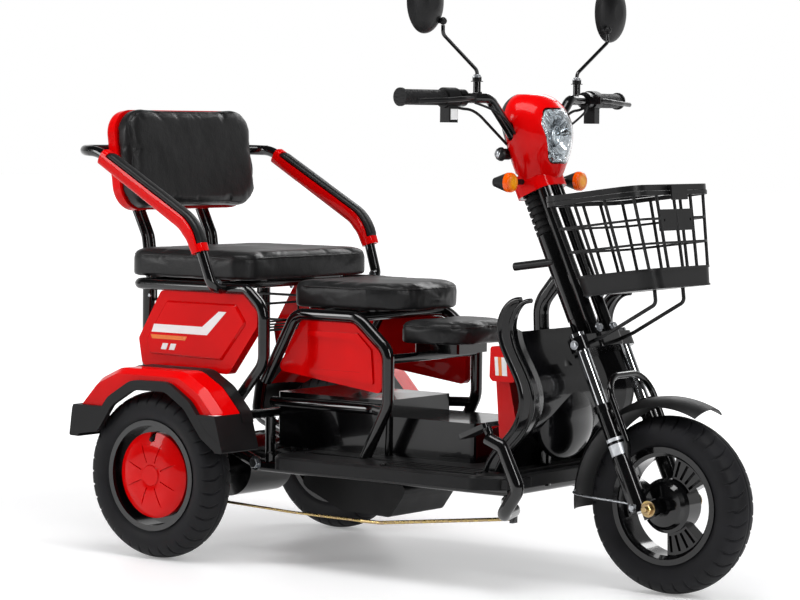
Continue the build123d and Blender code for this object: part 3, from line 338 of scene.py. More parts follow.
def dress(node, material):
    mesh = nodes[node].data
    mesh.materials.clear()
    mesh.materials.append(material)


for finishName, members in nodeFinish.items():
    for member in members:
        dress(member, made[finishName])
print("finishes made:", len(made))

rearX = joints["rear_wheel_right"]["pos_m"][0]
frontAxle = Vector(joints["front_wheel"]["pos_m"])
steerFoot = Vector(joints["steering"]["pos_m"])
steerAxis = Vector(joints["steering"]["axis"]).normalized()
steerAhead = Vector((steerAxis.z, 0, -steerAxis.x))


def at(x, y, z):
    # millimetres from the ground under the rear axle, to metres in the frame
    return np.array([rearX + x * millimetre, y * millimetre, z * millimetre])


def sided(place, side):
    # a place given for the left side, or its mirror image on the right
    x, y, z = place
    return at(x, side * y, z)


def onColumn(height, ahead, side):
    # millimetres along the steering axis, ahead of it and to the left
    point = steerFoot + steerAxis * height * millimetre + steerAhead * ahead * millimetre
    return np.array([point.x, point.y + side * millimetre, point.z])


def gridFaces(rows, columns, closeRows=False, closeColumns=False):
    # the quads between the neighbours of a grid of points, joined round where it closes
    row, column = np.meshgrid(np.arange(rows if closeRows else rows - 1),
                              np.arange(columns if closeColumns else columns - 1), indexing="ij")
    nextRow, nextColumn = (row + 1) % rows, (column + 1) % columns
    quads = [row * columns + column, row * columns + nextColumn, nextRow * columns + nextColumn,
             nextRow * columns + column]
    return np.stack(quads, -1).reshape(-1, 4)


def lathe(profile, sides=32, facets=0):
    # a profile of radius and height turned about Z; with facets the radius follows a regular polygon,
    # so that a nut comes from the same formula
    profile = np.array(profile, float)
    angle = np.linspace(0, 2 * np.pi, sides, endpoint=False)
    ring = np.ones(sides)
    if facets:
        wedge = 2 * np.pi / facets
        ring = np.cos(wedge / 2) / np.cos(angle % wedge - wedge / 2)
    radius = profile[:, :1] * ring
    height = np.repeat(profile[:, 1:], sides, axis=1)
    points = np.stack([radius * np.cos(angle), radius * np.sin(angle), height], -1).reshape(-1, 3)
    return points, gridFaces(len(profile), sides, closeColumns=True)


def stand(surface, place, axis):
    # turns a surface's Z to an axis and moves its origin to a place
    points, faces = surface
    axis = np.array(axis, float) / np.linalg.norm(axis)
    helper = np.array([0.0, 0.0, 1.0]) if abs(axis[2]) < 0.9 else np.array([1.0, 0.0, 0.0])
    first = np.cross(helper, axis)
    first /= np.linalg.norm(first)
    second = np.cross(axis, first)
    return points @ np.stack([first, second, axis]) + place, faces


def standAll(surfaces, place, axis):
    return [stand(surface, place, axis) for surface in surfaces]


def tube(path, radius, sides=12, closed=False):
    # a circle carried along a path; its plane is square to the path, the ends run to a point
    path = np.array(path, float)
    radius = np.full(len(path), radius)
    if closed:
        tangent = np.roll(path, -1, 0) - np.roll(path, 1, 0)
    else:
        path = np.concatenate([path[:1], path, path[-1:]])
        radius = np.concatenate([[0], radius, [0]])
        tangent = np.gradient(path, axis=0)
        tangent[:2] = path[2] - path[1]
        tangent[-2:] = path[-2] - path[-3]
    tangent /= np.linalg.norm(tangent, axis=1, keepdims=True)
    first = np.cross(tangent, np.eye(3)[np.argmin(np.abs(tangent).mean(0))])
    first /= np.linalg.norm(first, axis=1, keepdims=True)
    second = np.cross(tangent, first)
    angle = np.linspace(0, 2 * np.pi, sides, endpoint=False)
    ring = first[:, None] * np.cos(angle)[None, :, None] + second[:, None] * np.sin(angle)[None, :, None]
    points = (path[:, None] + ring * radius[:, None, None]).reshape(-1, 3)
    return points, gridFaces(len(path), sides, closeRows=closed, closeColumns=True)


def smoothPath(points, steps=10):
    # a Catmull-Rom curve: each stretch between two points is a cubic with slopes from their neighbours
    points = np.array(points, float)
    padded = np.concatenate([2 * points[:1] - points[1:2], points, 2 * points[-1:] - points[-2:-1]])
    share = np.linspace(0, 1, steps, endpoint=False)[None, :, None]
    a, b, c, d = (padded[i:len(points) - 1 + i][:, None] for i in range(4))
    curve = 0.5 * (2 * b + (c - a) * share + (2 * a - 5 * b + 4 * c - d) * share ** 2
                   + (3 * b - a - 3 * c + d) * share ** 3)
    return np.concatenate([curve.reshape(-1, 3), points[-1:]])


def slab(outline, thickness, place, xAxis, yAxis):
    # a flat outline given a thickness behind it; the axes are those of the outline's plane
    outline = np.array(outline, float) * millimetre
    xAxis, yAxis = np.array(xAxis, float), np.array(yAxis, float)
    front = place + outline[:, :1] * xAxis + outline[:, 1:] * yAxis
    back = front - np.cross(xAxis, yAxis) * thickness * millimetre
    count = len(outline)
    ids = np.arange(count)
    sides = np.stack([ids, (ids + 1) % count, (ids + 1) % count + count, ids + count], -1)
    return np.concatenate([front, back]), [*sides.tolist(), ids.tolist(), (ids[::-1] + count).tolist()]


def weld(mesh, distance, faceOut=False):
    work = bmesh.new()
    work.from_mesh(mesh)
    bmesh.ops.remove_doubles(work, verts=work.verts, dist=distance)
    if faceOut:
        bmesh.ops.recalc_face_normals(work, faces=work.faces)
    work.to_mesh(mesh)
    work.free()


def makePiece(name, surfaces, body, finish, smoothAngle=35):
    # one welded mesh of several surfaces, smooth but for edges sharper than the angle, on its body
    points, faces, start = [], [], 0
    for surfacePoints, surfaceFaces in surfaces:
        points.append(surfacePoints)
        faces += [[index + start for index in face] for face in np.asarray(surfaceFaces, object).tolist()]
        start += len(surfacePoints)
    mesh = bpy.data.meshes.new(name)
    mesh.from_pydata(np.concatenate(points).tolist(), [], faces)
    weld(mesh, 1e-6, faceOut=True)
    mesh.shade_smooth()
    mesh.set_sharp_from_angle(angle=math.radians(smoothAngle))
    mesh.materials.append(made[finish])
    piece = addObject(name, mesh)
    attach(piece, body)
    return piece


def makeByFinish(prefix, groups, body):
    # one piece for each finish, named after it
    for finishName, surfaces in groups.items():
        makePiece(prefix + finishName[0].upper() + finishName[1:], surfaces, body, finishName)


# radius and half width in mm of the section's points; each raised ring on the wall has a radius, a height
# and a spread, and the groove round the middle a depth, a spread and the radius that it starts from
tyre = {"bead": (123.5, 33), "belly": (146.75, 44), "shoulder": (170, 38), "crown": 185, "seat": 118,
        "around": 864, "across": 44, "wall": 14, "wallFrom": 36, "rings": ((131, 0.7, 1.6), (164, 0.8, 1.8)),
        "middle": (1.6, 1.8, 180)}
# width in shares of the pitch, depth in mm, and how each groove starts, hooks and leans
groove = {"count": 36, "width": 0.17, "depth": 3.4, "start": 0.2, "ease": 0.12, "low": 158, "lowEase": 8,
          "hook": (0.55, 1.9), "lean": 0.15}


def arcThrough(a, b, c, count):
    # points on the circle through three points: its middle is where two bisectors meet
    a, b, c = (np.array(point, float) for point in (a, b, c))
    sides = 2 * np.stack([b - a, c - a])
    middle = np.linalg.solve(sides, [b @ b - a @ a, c @ c - a @ a])
    turns = np.unwrap([math.atan2(*(point - middle)[::-1]) for point in (a, b, c)])
    angle = np.linspace(turns[0], turns[2], count)
    radius = np.linalg.norm(a - middle)
    return middle + radius * np.stack([np.cos(angle), np.sin(angle)], -1)


def tyreSurface(centre):
    # the section of two side walls and a crown carried round the axle. A groove lies where the turn, the
    # angle in pitches plus a sine and less a square of the distance from the middle line, is near a half
    mirror = np.array([1, -1])
    bead, belly, shoulder = (np.array(tyre[key], float) for key in ("bead", "belly", "shoulder"))
    near = arcThrough(bead * mirror, belly * mirror, shoulder * mirror, tyre["wall"])
    crown = arcThrough(shoulder * mirror, (tyre["crown"], 0), shoulder, tyre["across"])
    far = arcThrough(shoulder, belly, bead, tyre["wall"])
    seat = np.array([(tyre["seat"], bead[1]), (tyre["seat"], -bead[1])])
    section = np.concatenate([near, crown[1:-1], far, seat])
    along = np.roll(section, -1, 0) - np.roll(section, 1, 0)
    outward = np.stack([along[:, 1], -along[:, 0]], -1)
    outward /= np.linalg.norm(outward, axis=1, keepdims=True)
    angle = np.linspace(0, 2 * np.pi, tyre["around"], endpoint=False)[:, None]
    radius, width = section[:, 0], section[:, 1]
    reach = np.abs(width) / shoulder[1]
    turn = angle * groove["count"] / (2 * np.pi) + np.where(width > 0, 0.5, 0.0)
    fromStart = reach - groove["start"]
    turn = turn + groove["hook"][0] * np.sin(fromStart * groove["hook"][1]) - groove["lean"] * reach ** 2
    cut = np.clip(1 - np.abs(turn % 1 - 0.5) / (groove["width"] / 2), 0, 1) ** 0.5
    span = np.clip(fromStart / groove["ease"], 0, 1)
    span = span * np.clip((radius - groove["low"]) / groove["lowEase"], 0, 1)
    lift = -groove["depth"] * cut * span
    for level, height, spread in tyre["rings"]:
        ring = height * np.exp(-((radius - level) / spread) ** 2)
        lift = lift + np.where(np.abs(width) > tyre["wallFrom"], ring, 0)
    depth, spread, start = tyre["middle"]
    lift = lift - depth * np.exp(-(width / spread) ** 2) * (radius > start)
    r = (radius + outward[:, 0] * lift) * millimetre
    y = (width + outward[:, 1] * lift) * millimetre
    points = np.stack([r * np.cos(angle), np.broadcast_to(y, r.shape), r * np.sin(angle)], -1)
    return points.reshape(-1, 3) + centre, gridFaces(tyre["around"], len(section), True, True)


wheels = {"front": ("wheel_front", "front_tyre", "front_wheel"),
          "rearRight": ("wheel_rear_right", "rear_tyre_right", "rear_wheel_right"),
          "rearLeft": ("wheel_rear_left", "rear_tyre_left", "rear_wheel_left")}
for wheelName, (wheelBody, tyreNode, wheelJoint) in wheels.items():
    tyrePiece = makePiece(wheelName + "Tyre", [tyreSurface(np.array(joints[wheelJoint]["pos_m"]))],
                          wheelBody, "tyreRubber", 50)
    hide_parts(tyreNode)
print("tyres made")

# the profiles are shares of the radius and the height, from the foot to the top
headProfile = ((0, 0), (1, 0), (1, 0.8), (0.86, 1), (0.4, 1), (0, 1))
roundProfile = ((0, 0), (1, 0), (0.97, 0.35), (0.8, 0.75), (0.4, 1), (0, 1))
stubProfile = ((0, 0), (1, 0), (1, 0.9), (0.8, 1), (0, 1))
washer = {"radius": 1.35, "low": -1.0, "high": 0.6}  # a share of the nut's radius, and mm from its foot


def scaled(profile, size, height):
    return np.array(profile) * [size * millimetre / 2, height * millimetre]


def nut(size, height):
    # a chamfered six-sided head with a washer under it, size across the corners
    reach, low, high = size * washer["radius"], washer["low"], washer["high"]
    ring = scaled([(0, low), (1, low), (1, high), (0, high)], reach, 1)
    return [lathe(scaled(headProfile, size, height), 36, 6), lathe(ring, 36)]


def roundHead(size, height):
    return [lathe(scaled(roundProfile, size, height), 28)]


def stub(size, length):
    return [lathe(scaled(stubProfile, size, length), 24)]


upwards = (0, 0, 1)
sides = ((-1, (0, -1, 0)), (1, (0, 1, 0)))
# size and height of each kind, then its place on the left side in mm: on the axle, on the column, or from
# the ground under the rear axle
axleFace = 92.5
crownBolt = (345, 30, 103)
frameFixings = [(nut, 13, 5, (128, 276, 612)), (roundHead, 9, 3, (-96, 250.5, 575)),
                (nut, 24, 9, (118, 134, 203))]
floorFixings = [(roundHead, 12, 3, (250, 240, 245)), (roundHead, 12, 3, (560, 240, 245))]
axleNuts, forkBolts, frameBolts, floorScrews = [], [], [], []
for side, outwards in sides:
    face = np.array(frontAxle) + [0, side * axleFace * millimetre, 0]
    axleNuts += standAll(nut(25, 10) + stub(12, 17), face, outwards)
    height, ahead, out = crownBolt
    forkBolts += standAll(nut(14, 6), onColumn(height, ahead, side * out), outwards)
    for kind, across, height, place in frameFixings:
        frameBolts += standAll(kind(across, height), sided(place, side), outwards)
    for kind, across, height, place in floorFixings:
        floorScrews += standAll(kind(across, height), sided(place, side), upwards)
makePiece("axleNuts", axleNuts, "fork", "yellowZinc")
makePiece("forkBolts", forkBolts, "fork", "brightZinc")
makePiece("frameBolts", frameBolts, "frame", "brightZinc")
makePiece("floorScrews", floorScrews, "frame", "satinCoat")

# reflective bands round the fork legs
bands = {"inside": 16.5, "outside": 17.1, "levels": ((100, 124), (130, 137)), "ahead": 30, "side": 80}
bandSurfaces = []
inside, outside = bands["inside"], bands["outside"]
for side in (-1, 1):
    for low, high in bands["levels"]:
        wide = high - low
        profile = np.array([(inside, 0), (outside, 0), (outside, wide), (inside, wide), (inside, 0)])
        foot = onColumn(low, bands["ahead"], side * bands["side"])
        bandSurfaces.append(stand(lathe(profile * millimetre, 48), foot, np.array(steerAxis)))
makePiece("legBands", bandSurfaces, "fork", "reflectiveFilm")
print("fasteners and bands made")

cushions = {
    "rearSeat": {"node": "rear_seat_cushion", "tuck": 3, "cap": 7, "seam": 15, "fill": 0.8},
    "middleSeat": {"node": "middle_seat_cushion", "tuck": 3, "cap": 6, "seam": 14, "fill": 0.8},
    "frontSeat": {"node": "front_seat_cushion", "tuck": 2.5, "cap": 5, "seam": 13, "fill": 0.8},
    "backPad": {"node": "backrest_cushion", "tuck": 2.5, "cap": 6, "seam": 11, "fill": 0.7, "lean": 8},
}
puffing = {"voxel": 0.005, "pressure": 4.0, "frames": 20, "sink": 0.9, "seatFoot": 0.0002, "padFoot": -0.004}
seam = {"reach": 0.0045, "depth": 0.0016, "puckers": 70, "pucker": 0.3, "slice": 0.006, "steps": 240,
        "mean": 5, "piping": 0.0021}


def settle(piece):
    # writes what the modifiers give into the mesh and takes them off
    bpy.context.view_layer.update()
    result = bpy.data.meshes.new_from_object(piece.evaluated_get(bpy.context.evaluated_depsgraph_get()))
    old = piece.data
    piece.modifiers.clear()
    piece.data = result
    bpy.data.meshes.remove(old)


def coordinates(mesh, normals=False):
    source, key = (mesh.vertex_normals, "vector") if normals else (mesh.vertices, "co")
    values = np.empty(len(source) * 3, np.float32)
    source.foreach_get(key, values)
    return values.reshape(-1, 3).astype(float)


def moveTo(mesh, points):
    mesh.vertices.foreach_set("co", points.astype(np.float32).ravel())
    mesh.update()


def copyOf(node, name):
    mesh = nodes[node].data.copy()
    weld(mesh, 1e-5)
    return addObject(name, mesh)


def inflate(piece, low, cap):
    # cloth with air in it; how far a point may move levels off at the cap, and the base stays flat
    before = coordinates(piece.data)
    cloth = piece.modifiers.new("air", "CLOTH")
    cloth.settings.use_pressure = True
    cloth.settings.uniform_pressure_force = puffing["pressure"]
    cloth.settings.effector_weights.gravity = 0
    for number in range(1, puffing["frames"] + 1):
        scene.frame_set(number)
    evaluated = piece.evaluated_get(bpy.context.evaluated_depsgraph_get())
    move = coordinates(evaluated.to_mesh()) - before
    evaluated.to_mesh_clear()
    piece.modifiers.clear()
    scene.frame_set(1)
    length = np.linalg.norm(move, axis=1, keepdims=True) + 1e-9
    move *= cap * np.tanh(length / cap) / length
    after = before + move
    after[:, 2] = np.maximum(after[:, 2], low)
    moveTo(piece.data, after)


def turnsAbout(points, middle, plane):
    # the angle of each point about the middle, in the plane of two axes
    first, second = plane
    return np.arctan2(points[:, second] - middle[second], points[:, first] - middle[first])


def smoothRing(values, count):
    # a running mean over an odd count of neighbours in a closed ring
    half = count // 2
    padded = np.concatenate([values[-half:], values, values[:half]])
    return np.convolve(padded, np.ones(count) / count, "valid")


def seamRing(points, axis, plane, level):
    # the piping: the pad's outline at one level, as the reach of its points at each angle, smoothed
    rim = points[np.abs(points[:, axis] - level) < seam["slice"]]
    middle = (rim.min(0) + rim.max(0)) / 2
    turn = turnsAbout(rim, middle, plane)
    reach = np.linalg.norm(rim[:, plane] - middle[plane], axis=1)
    order = np.argsort(turn)
    angle = np.linspace(-np.pi, np.pi, seam["steps"], endpoint=False)
    radius = smoothRing(np.interp(angle, turn[order], reach[order], period=2 * np.pi), seam["mean"])
    path = np.full((len(angle), 3), level)
    path[:, plane] = middle[plane] + radius[:, None] * np.stack([np.cos(angle), np.sin(angle)], -1)
    return path


def makeCushion(name, look):
    low, high = (np.array(corner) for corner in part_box(look["node"]))
    piece = copyOf(look["node"], name)
    points = coordinates(piece.data)
    middle, size = (low + high) / 2, high - low
    tuck = look["tuck"] * millimetre
    leaning = "lean" in look
    points = middle + (points - middle) * (1 - 2 * tuck / size)
    points[:, 2] -= 0 if leaning else tuck * puffing["sink"]
    moveTo(piece.data, points)
    remesh = piece.modifiers.new("even", "REMESH")
    remesh.mode = "VOXEL"
    remesh.voxel_size = puffing["voxel"]
    settle(piece)
    foot = low[2] + puffing["padFoot" if leaning else "seatFoot"]
    inflate(piece, foot, look["cap"] * millimetre)
    # the seam draws the cover in along one line, with small puckers; a leaning pad is first stood upright
    lean = np.array(Matrix.Rotation(math.radians(look.get("lean", 0)), 3, "Y"))
    axis, plane = (0, [1, 2]) if leaning else (2, [0, 1])
    points, normals = coordinates(piece.data) @ lean.T, coordinates(piece.data, True) @ lean.T
    level = points[:, axis].max() - look["seam"] * millimetre
    turn = turnsAbout(points, (points.min(0) + points.max(0)) / 2, plane)
    pull = np.exp(-((points[:, axis] - level) / seam["reach"]) ** 2)
    sideways = 1 - normals[:, axis] ** 2
    pucker = 1 + seam["pucker"] * np.sin(turn * seam["puckers"])
    points -= normals * (seam["depth"] * pull * sideways * pucker)[:, None]
    path = seamRing(points, axis, plane, level) @ lean
    moveTo(piece.data, points @ lean)
    piece.data.shade_smooth()
    piece.data.materials.clear()
    piece.data.materials.append(made["seatLeather"])
    smoother = piece.modifiers.new("finer", "SUBSURF")
    smoother.levels = smoother.render_levels = 1
    settle(piece)
    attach(piece, "frame")
    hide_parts(look["node"])
    piping = tube(path, seam["piping"], 10, closed=True)
    makePiece(name + "Piping", [piping], "frame", "seatLeather")


for cushionName, cushionLook in cushions.items():
    makeCushion(cushionName, cushionLook)
    print("cushion made:", cushionName)

# the armrests: a black foam pad lies along the top of each tube, in a deeper red moulding under it
armrest = {"tube": 12, "spread": 608, "bendRadius": 90, "foot": (128, 602), "bend": (80, 738),
           "high": (-205, 896), "below": 62, "above": 22, "gap": 0.5, "lip": 15.0, "roundness": 3.2,
           "padWidth": 16.0, "padHeight": 19, "padEdge": 12.6, "padEase": 9, "coverWidth": 17.5,
           "coverDepth": 22, "swellAt": (0, 14, 60, 96), "swell": (-4.5, -2.0, 4.5, 2.5, -1.5),
           "collar": 14, "collarLap": 4, "collarWidth": 16.5, "collarHeight": 17.5}


def armrestLine():
    # two straight runs in the side plane, joined by an arc of the bend's radius
    foot, bend, high = (np.array(armrest[key], float) for key in ("foot", "bend", "high"))
    down, back = foot - bend, high - bend
    downRun, backRun = np.linalg.norm(down), np.linalg.norm(back)
    down, back = down / downRun, back / backRun
    turn = np.pi - np.arccos(np.dot(down, back))
    reach = armrest["bendRadius"] * np.tan(turn / 2)
    centre = bend + (down + back) / np.linalg.norm(down + back) * armrest["bendRadius"] / np.cos(turn / 2)
    first, last = bend + down * reach - centre, bend + back * reach - centre
    share = np.linspace(0, 1, 24)[:, None]
    arc = centre + (np.sin((1 - share) * turn) * first + np.sin(share * turn) * last) / np.sin(turn)
    start, end = bend + down * armrest["below"], high - back * armrest["above"]
    run, foreRun = np.linspace(0, 1, 90)[1:, None], np.linspace(0, 1, 12)[:-1, None]
    return np.concatenate([start + (arc[0] - start) * foreRun, arc, arc[-1] + (end - arc[-1]) * run])


def sleeveAlong(line, y, upper, width, depth, past=0.0):
    # half a ring carried along the line: the inside keeps to the tube, and the outside is a superellipse
    # whose half width and depth are given for each point of the line; past is how far round its ends go
    tangent = np.gradient(line, axis=0)
    tangent /= np.linalg.norm(tangent, axis=1, keepdims=True)
    over = np.stack([tangent[:, 1], -tangent[:, 0]], -1)
    over *= np.where(over[:, 1:] > 0, 1.0, -1.0) * (1 if upper else -1)
    angle = np.linspace(-past, np.pi + past, 26)
    cosine, sine = np.cos(angle), np.sin(angle)
    power = 2 / armrest["roundness"]
    outX = width[:, None] * np.sign(cosine) * np.abs(cosine) ** power
    outZ = np.sign(sine) * np.abs(sine) ** power * np.where(sine > 0, depth[:, None], armrest["lip"])
    inner = armrest["tube"] + armrest["gap"]
    inX = np.broadcast_to(inner * cosine[::-1], outX.shape)
    inZ = np.broadcast_to(inner * sine[::-1], outX.shape)
    across, upward = np.concatenate([outX, inX], 1), np.concatenate([outZ, inZ], 1)
    x = line[:, :1] + over[:, :1] * upward
    z = line[:, 1:] + over[:, 1:] * upward
    points = np.stack([rearX + x * millimetre, (y + across) * millimetre, z * millimetre], -1)
    rows, columns = across.shape
    caps = [list(range(columns))[::-1], list(range((rows - 1) * columns, rows * columns))]
    return points.reshape(-1, 3), [*gridFaces(rows, columns, closeColumns=True).tolist(), *caps]


line = armrestLine()
gone = np.concatenate([[0], np.cumsum(np.linalg.norm(np.diff(line, axis=0), axis=1))])
fromEnd = np.minimum(gone, gone[-1] - gone)
# the pad swells from its edge within the collars; the moulding is deepest just behind the bend and runs
# out in a slant at its lower end
inside = fromEnd > armrest["collar"]
ease = np.clip((fromEnd[inside] - armrest["collar"]) / armrest["padEase"], 0.12, 1) ** 0.5
padWidth, padHeight = (armrest["padEdge"] + (armrest[key] - armrest["padEdge"]) * ease
                       for key in ("padWidth", "padHeight"))
coverWidth = np.full(len(line), armrest["coverWidth"])
coverDepth = armrest["coverDepth"] + np.interp(gone, [*armrest["swellAt"], gone[-1]], armrest["swell"])
collarLength = armrest["collar"] + armrest["collarLap"]
padSurfaces, coverSurfaces = [], []
for side in (-1, 1):
    y = side * armrest["spread"] / 2
    padSurfaces.append(sleeveAlong(line[inside], y, True, padWidth, padHeight, -0.42))
    coverSurfaces.append(sleeveAlong(line, y, False, coverWidth, coverDepth, 0.36))
    for end in (gone <= collarLength, gone >= gone[-1] - collarLength):
        width, height = (np.full(end.sum(), armrest[key]) for key in ("collarWidth", "collarHeight"))
        coverSurfaces.append(sleeveAlong(line[end], y, True, width, height, 0.1))
pads = makePiece("armrestPads", padSurfaces, "frame", "seatLeather")
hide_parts("armrest_covers")
covers = makePiece("armrestCovers", coverSurfaces, "frame", "lacqueredRed")
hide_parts("armrest_pads")
print("armrest pads made")


def gripMaterial():
    # diamond knurl: two sets of waves cross on the sleeve
    material, tree, shader, place = copyFinish("gripRubber", "knurledRubber")
    waves = []
    for slant in (0.7, -0.7):
        turned = addNode(tree, "Mapping", {"Rotation": (slant, 0, 0)}, {"Vector": place})
        waves.append(addNode(tree, "TexWave", {"Scale": 62.0}, {"Vector": turned.outputs[0]},
                             bands_direction="Y").outputs["Fac"])
    knurl = calculate(tree, "MULTIPLY", *waves)
    tree.links.new(press(tree, knurl, 1.2), shader.inputs["Normal"])
    return material


def reflectorMaterial():
    # metallised bowl pressed in facets that fan out from the bulb
    material, tree, shader, place = copyFinish("lampMetallising", "metallisedReflector")
    facets = addNode(tree, "TexVoronoi", {"Scale": 70.0, "Randomness": 0.75}, {"Vector": place},
                     distance="CHEBYCHEV")
    ribs = addNode(tree, "TexWave", {"Scale": 26.0, "Distortion": 3.0}, {"Vector": place},
                   bands_direction="DIAGONAL")
    height = calculate(tree, "ADD", facets.outputs["Distance"], ribs.outputs["Fac"])
    tree.links.new(press(tree, height, 6), shader.inputs["Normal"])
    return material


# the lamps' middles in mm, and in metres the radii between which they darken; the emission strength is a
# painted glow
amber = {"middle": (0, 131, 845), "span": (0.007, 0.0195), "bulb": "#FFA600", "rim": "#F05A00",
         "ringTurns": 2200.0, "ringDepth": 0.8,
         "shader": {"Roughness": 0.12, "Coat Weight": 0.25, "Coat Roughness": 0.03, "Specular IOR Level": 0.3,
                    "Emission Strength": 0.12}}


def amberMaterial():
    # dyed acrylic with rings pressed inside: a faint painted glow in the lens's own tint stands in for light
    # coming through
    material, tree, shader = newMaterial("amberAcrylic")
    for socket, value in amber["shader"].items():
        shader.inputs[socket].default_value = value
    # rings round each lamp's own middle, deep amber at the rim and yellow near the bulb
    axes = addNode(tree, "SeparateXYZ", {}, {0: addNode(tree, "TexCoord").outputs["Object"]})
    side = calculate(tree, "ABSOLUTE", axes.outputs["Y"])
    flat = addNode(tree, "CombineXYZ", {}, {"Y": side, "Z": axes.outputs["Z"]})
    middle = [value * millimetre for value in amber["middle"]]
    away = addNode(tree, "VectorMath", {1: middle}, {0: flat.outputs[0]}, operation="DISTANCE")
    away = away.outputs["Value"]
    tint = tintBy(tree, remap(tree, away, amber["span"]), amber["bulb"], amber["rim"])
    tree.links.new(tint, shader.inputs["Base Color"])
    # the same tint colours the painted glow
    tree.links.new(tint, shader.inputs["Emission Color"])
    wave = calculate(tree, "SINE", calculate(tree, "MULTIPLY", away, amber["ringTurns"]))
    tree.links.new(press(tree, wave, amber["ringDepth"]), shader.inputs["Normal"])
    return material


# vertical strips on each side of the red pocket, white, orange and white, each from its rear to its front
pocket = {"low": 437, "high": 476, "lean": 3, "face": 104.5, "thickness": 0.6,
          "strips": [("whiteVinyl", 749, 757.5), ("orangeVinyl", 757.5, 766.5), ("whiteVinyl", 766.5, 779)]}
strips = {"whiteVinyl": [], "orangeVinyl": []}
low, high, lean = pocket["low"], pocket["high"], pocket["lean"]
for side in (-1, 1):
    face = at(0, side * pocket["face"], 0)
    for finishName, rear, front in pocket["strips"]:
        shape = [(rear + lean, low), (front + lean, low), (front, high), (rear, high)]
        strips[finishName].append(slab(shape[::-side], pocket["thickness"], face, (1, 0, 0), upwards))
makeByFinish("pocketStrips", strips, "frame")
dress("grips", gripMaterial())
dress("headlamp_reflector", reflectorMaterial())
dress("indicator_lenses", amberMaterial())
print("special finishes made")

stripes = {
    "white": [[(-78, 512), (64, 512), (112, 548), (134, 548), (78, 494), (-86, 494)],
              [(-52, 470), (-36, 470), (-42, 456), (-58, 456)],
              [(-28, 470), (-12, 470), (-18, 456), (-34, 456)]],
    "orange": [[(-88, 488), (20, 488), (14, 479), (-84, 479)]],
}
stripeFace, stripeThickness = 255.35, 0.3
for colour, shapes in stripes.items():
    surfaces = [slab(shape, stripeThickness * side, at(0, side * stripeFace, 0), (1, 0, 0), upwards)
                for side in (-1, 1) for shape in shapes]
    makePiece(colour + "Stripes", surfaces, "frame", colour + "Vinyl")

lamp = {"half": 57, "middle": 943, "back": 894, "bowl": 75, "petals": 15, "steps": 3, "clear": 6.5,
        "eased": 31, "rise": 1.5, "wedge": 6.5, "step": 4, "wall": 0.4,
        "bulb": {"place": (823, 0, 943), "size": (14, 19, 6)},
        "ring": {"place": (828, 0, 943), "across": 15.5, "high": 19.5, "radius": 1.9}}
lampShape = np.array([(-0.62, -1), (0.62, -1), (1, 0.44), (0.72, 1), (-0.72, 1), (-1, 0.44)])
bulbProfile = [(0, 0), (0.35, 0.06), (0.7, 0.28), (0.94, 0.64), (1, 1), (0.9, 1.4), (0.55, 1.8), (0, 2)]
# the cowl's form at five heights: the height, then the middle, half length and half width of its ellipse
cowlLevels = ((848, 892, 932, 978, 1010), (786, 786, 784, 775, 768), (42, 58, 68, 70, 56),
              (46, 68, 80, 83, 68))


def lampEdge(angle):
    # how far the lens outline lies from its middle at each angle; its corners are eased by a short mean
    corners = lampShape * lamp["half"] * millimetre
    dense = np.linspace(corners, np.roll(corners, -1, 0), 40, endpoint=False).reshape(-1, 2)
    turn = np.arctan2(dense[:, 1], dense[:, 0]) % (2 * np.pi)
    order = np.argsort(turn)
    reach = np.interp(angle, turn[order], np.linalg.norm(dense, axis=1)[order], period=2 * np.pi)
    return smoothRing(reach, lamp["eased"])


def lampFront(y, z):
    # how far forward the cowl's form lies: its level ellipses, read between their heights
    level, centre, halfLength, halfWidth = (np.array(row) * millimetre for row in cowlLevels)
    share = np.maximum(1 - (y / np.interp(z, level, halfWidth)) ** 2, 0.02)
    return np.interp(z, level, centre) + rearX + np.interp(z, level, halfLength) * np.sqrt(share)


def lampBowl():
    # a sheet over the bowl: distance from the middle follows the lens outline at each angle, and the
    # depth rises in wedges that fan out, each a straight ramp of the angle; it stays behind the lens
    radius, rise, wedge, step = (lamp[key] * millimetre for key in ("bowl", "rise", "wedge", "step"))
    angle = np.linspace(0, 2 * np.pi, 288, endpoint=False)
    share = np.linspace(0.02, 0.97, 40)[:, None]
    reach = lampEdge(angle) * share
    ramp = (angle * lamp["petals"] / (2 * np.pi)) % 1
    depth = radius - np.sqrt(np.maximum(radius ** 2 - reach ** 2, 1e-6))
    depth = depth + rise + wedge * ramp * share + step * ((share * lamp["steps"]) % 1)
    points = np.stack([depth, reach * np.cos(angle), reach * np.sin(angle)], -1).reshape(-1, 3)
    points += at(lamp["back"] - lamp["bowl"], 0, lamp["middle"])
    front = lampFront(points[:, 1], points[:, 2]) - lamp["clear"] * millimetre
    points[:, 0] = np.minimum(points[:, 0], front)
    return points, gridFaces(len(share), len(angle), closeColumns=True)


bowl = makePiece("lampBowl", [lampBowl()], "fork", "lampMetallising", 12)
backing = bowl.modifiers.new("wall", "SOLIDIFY")
backing.thickness = lamp["wall"] * millimetre
bulb, ring = lamp["bulb"], lamp["ring"]
points, faces = lathe(bulbProfile, 40)
points = (points * bulb["size"])[:, [2, 0, 1]] * millimetre + at(*bulb["place"])
makePiece("lampBulb", [(points, faces)], "fork", "clearPolycarbonate")
turn = np.linspace(0, 2 * np.pi, 72, endpoint=False)
path = np.stack([0 * turn, ring["across"] * np.cos(turn), ring["high"] * np.sin(turn)], -1) * millimetre
ringTube = tube(path + at(*ring["place"]), ring["radius"] * millimetre, 10, closed=True)
makePiece("lampRing", [ringTube], "fork", "brightZinc")

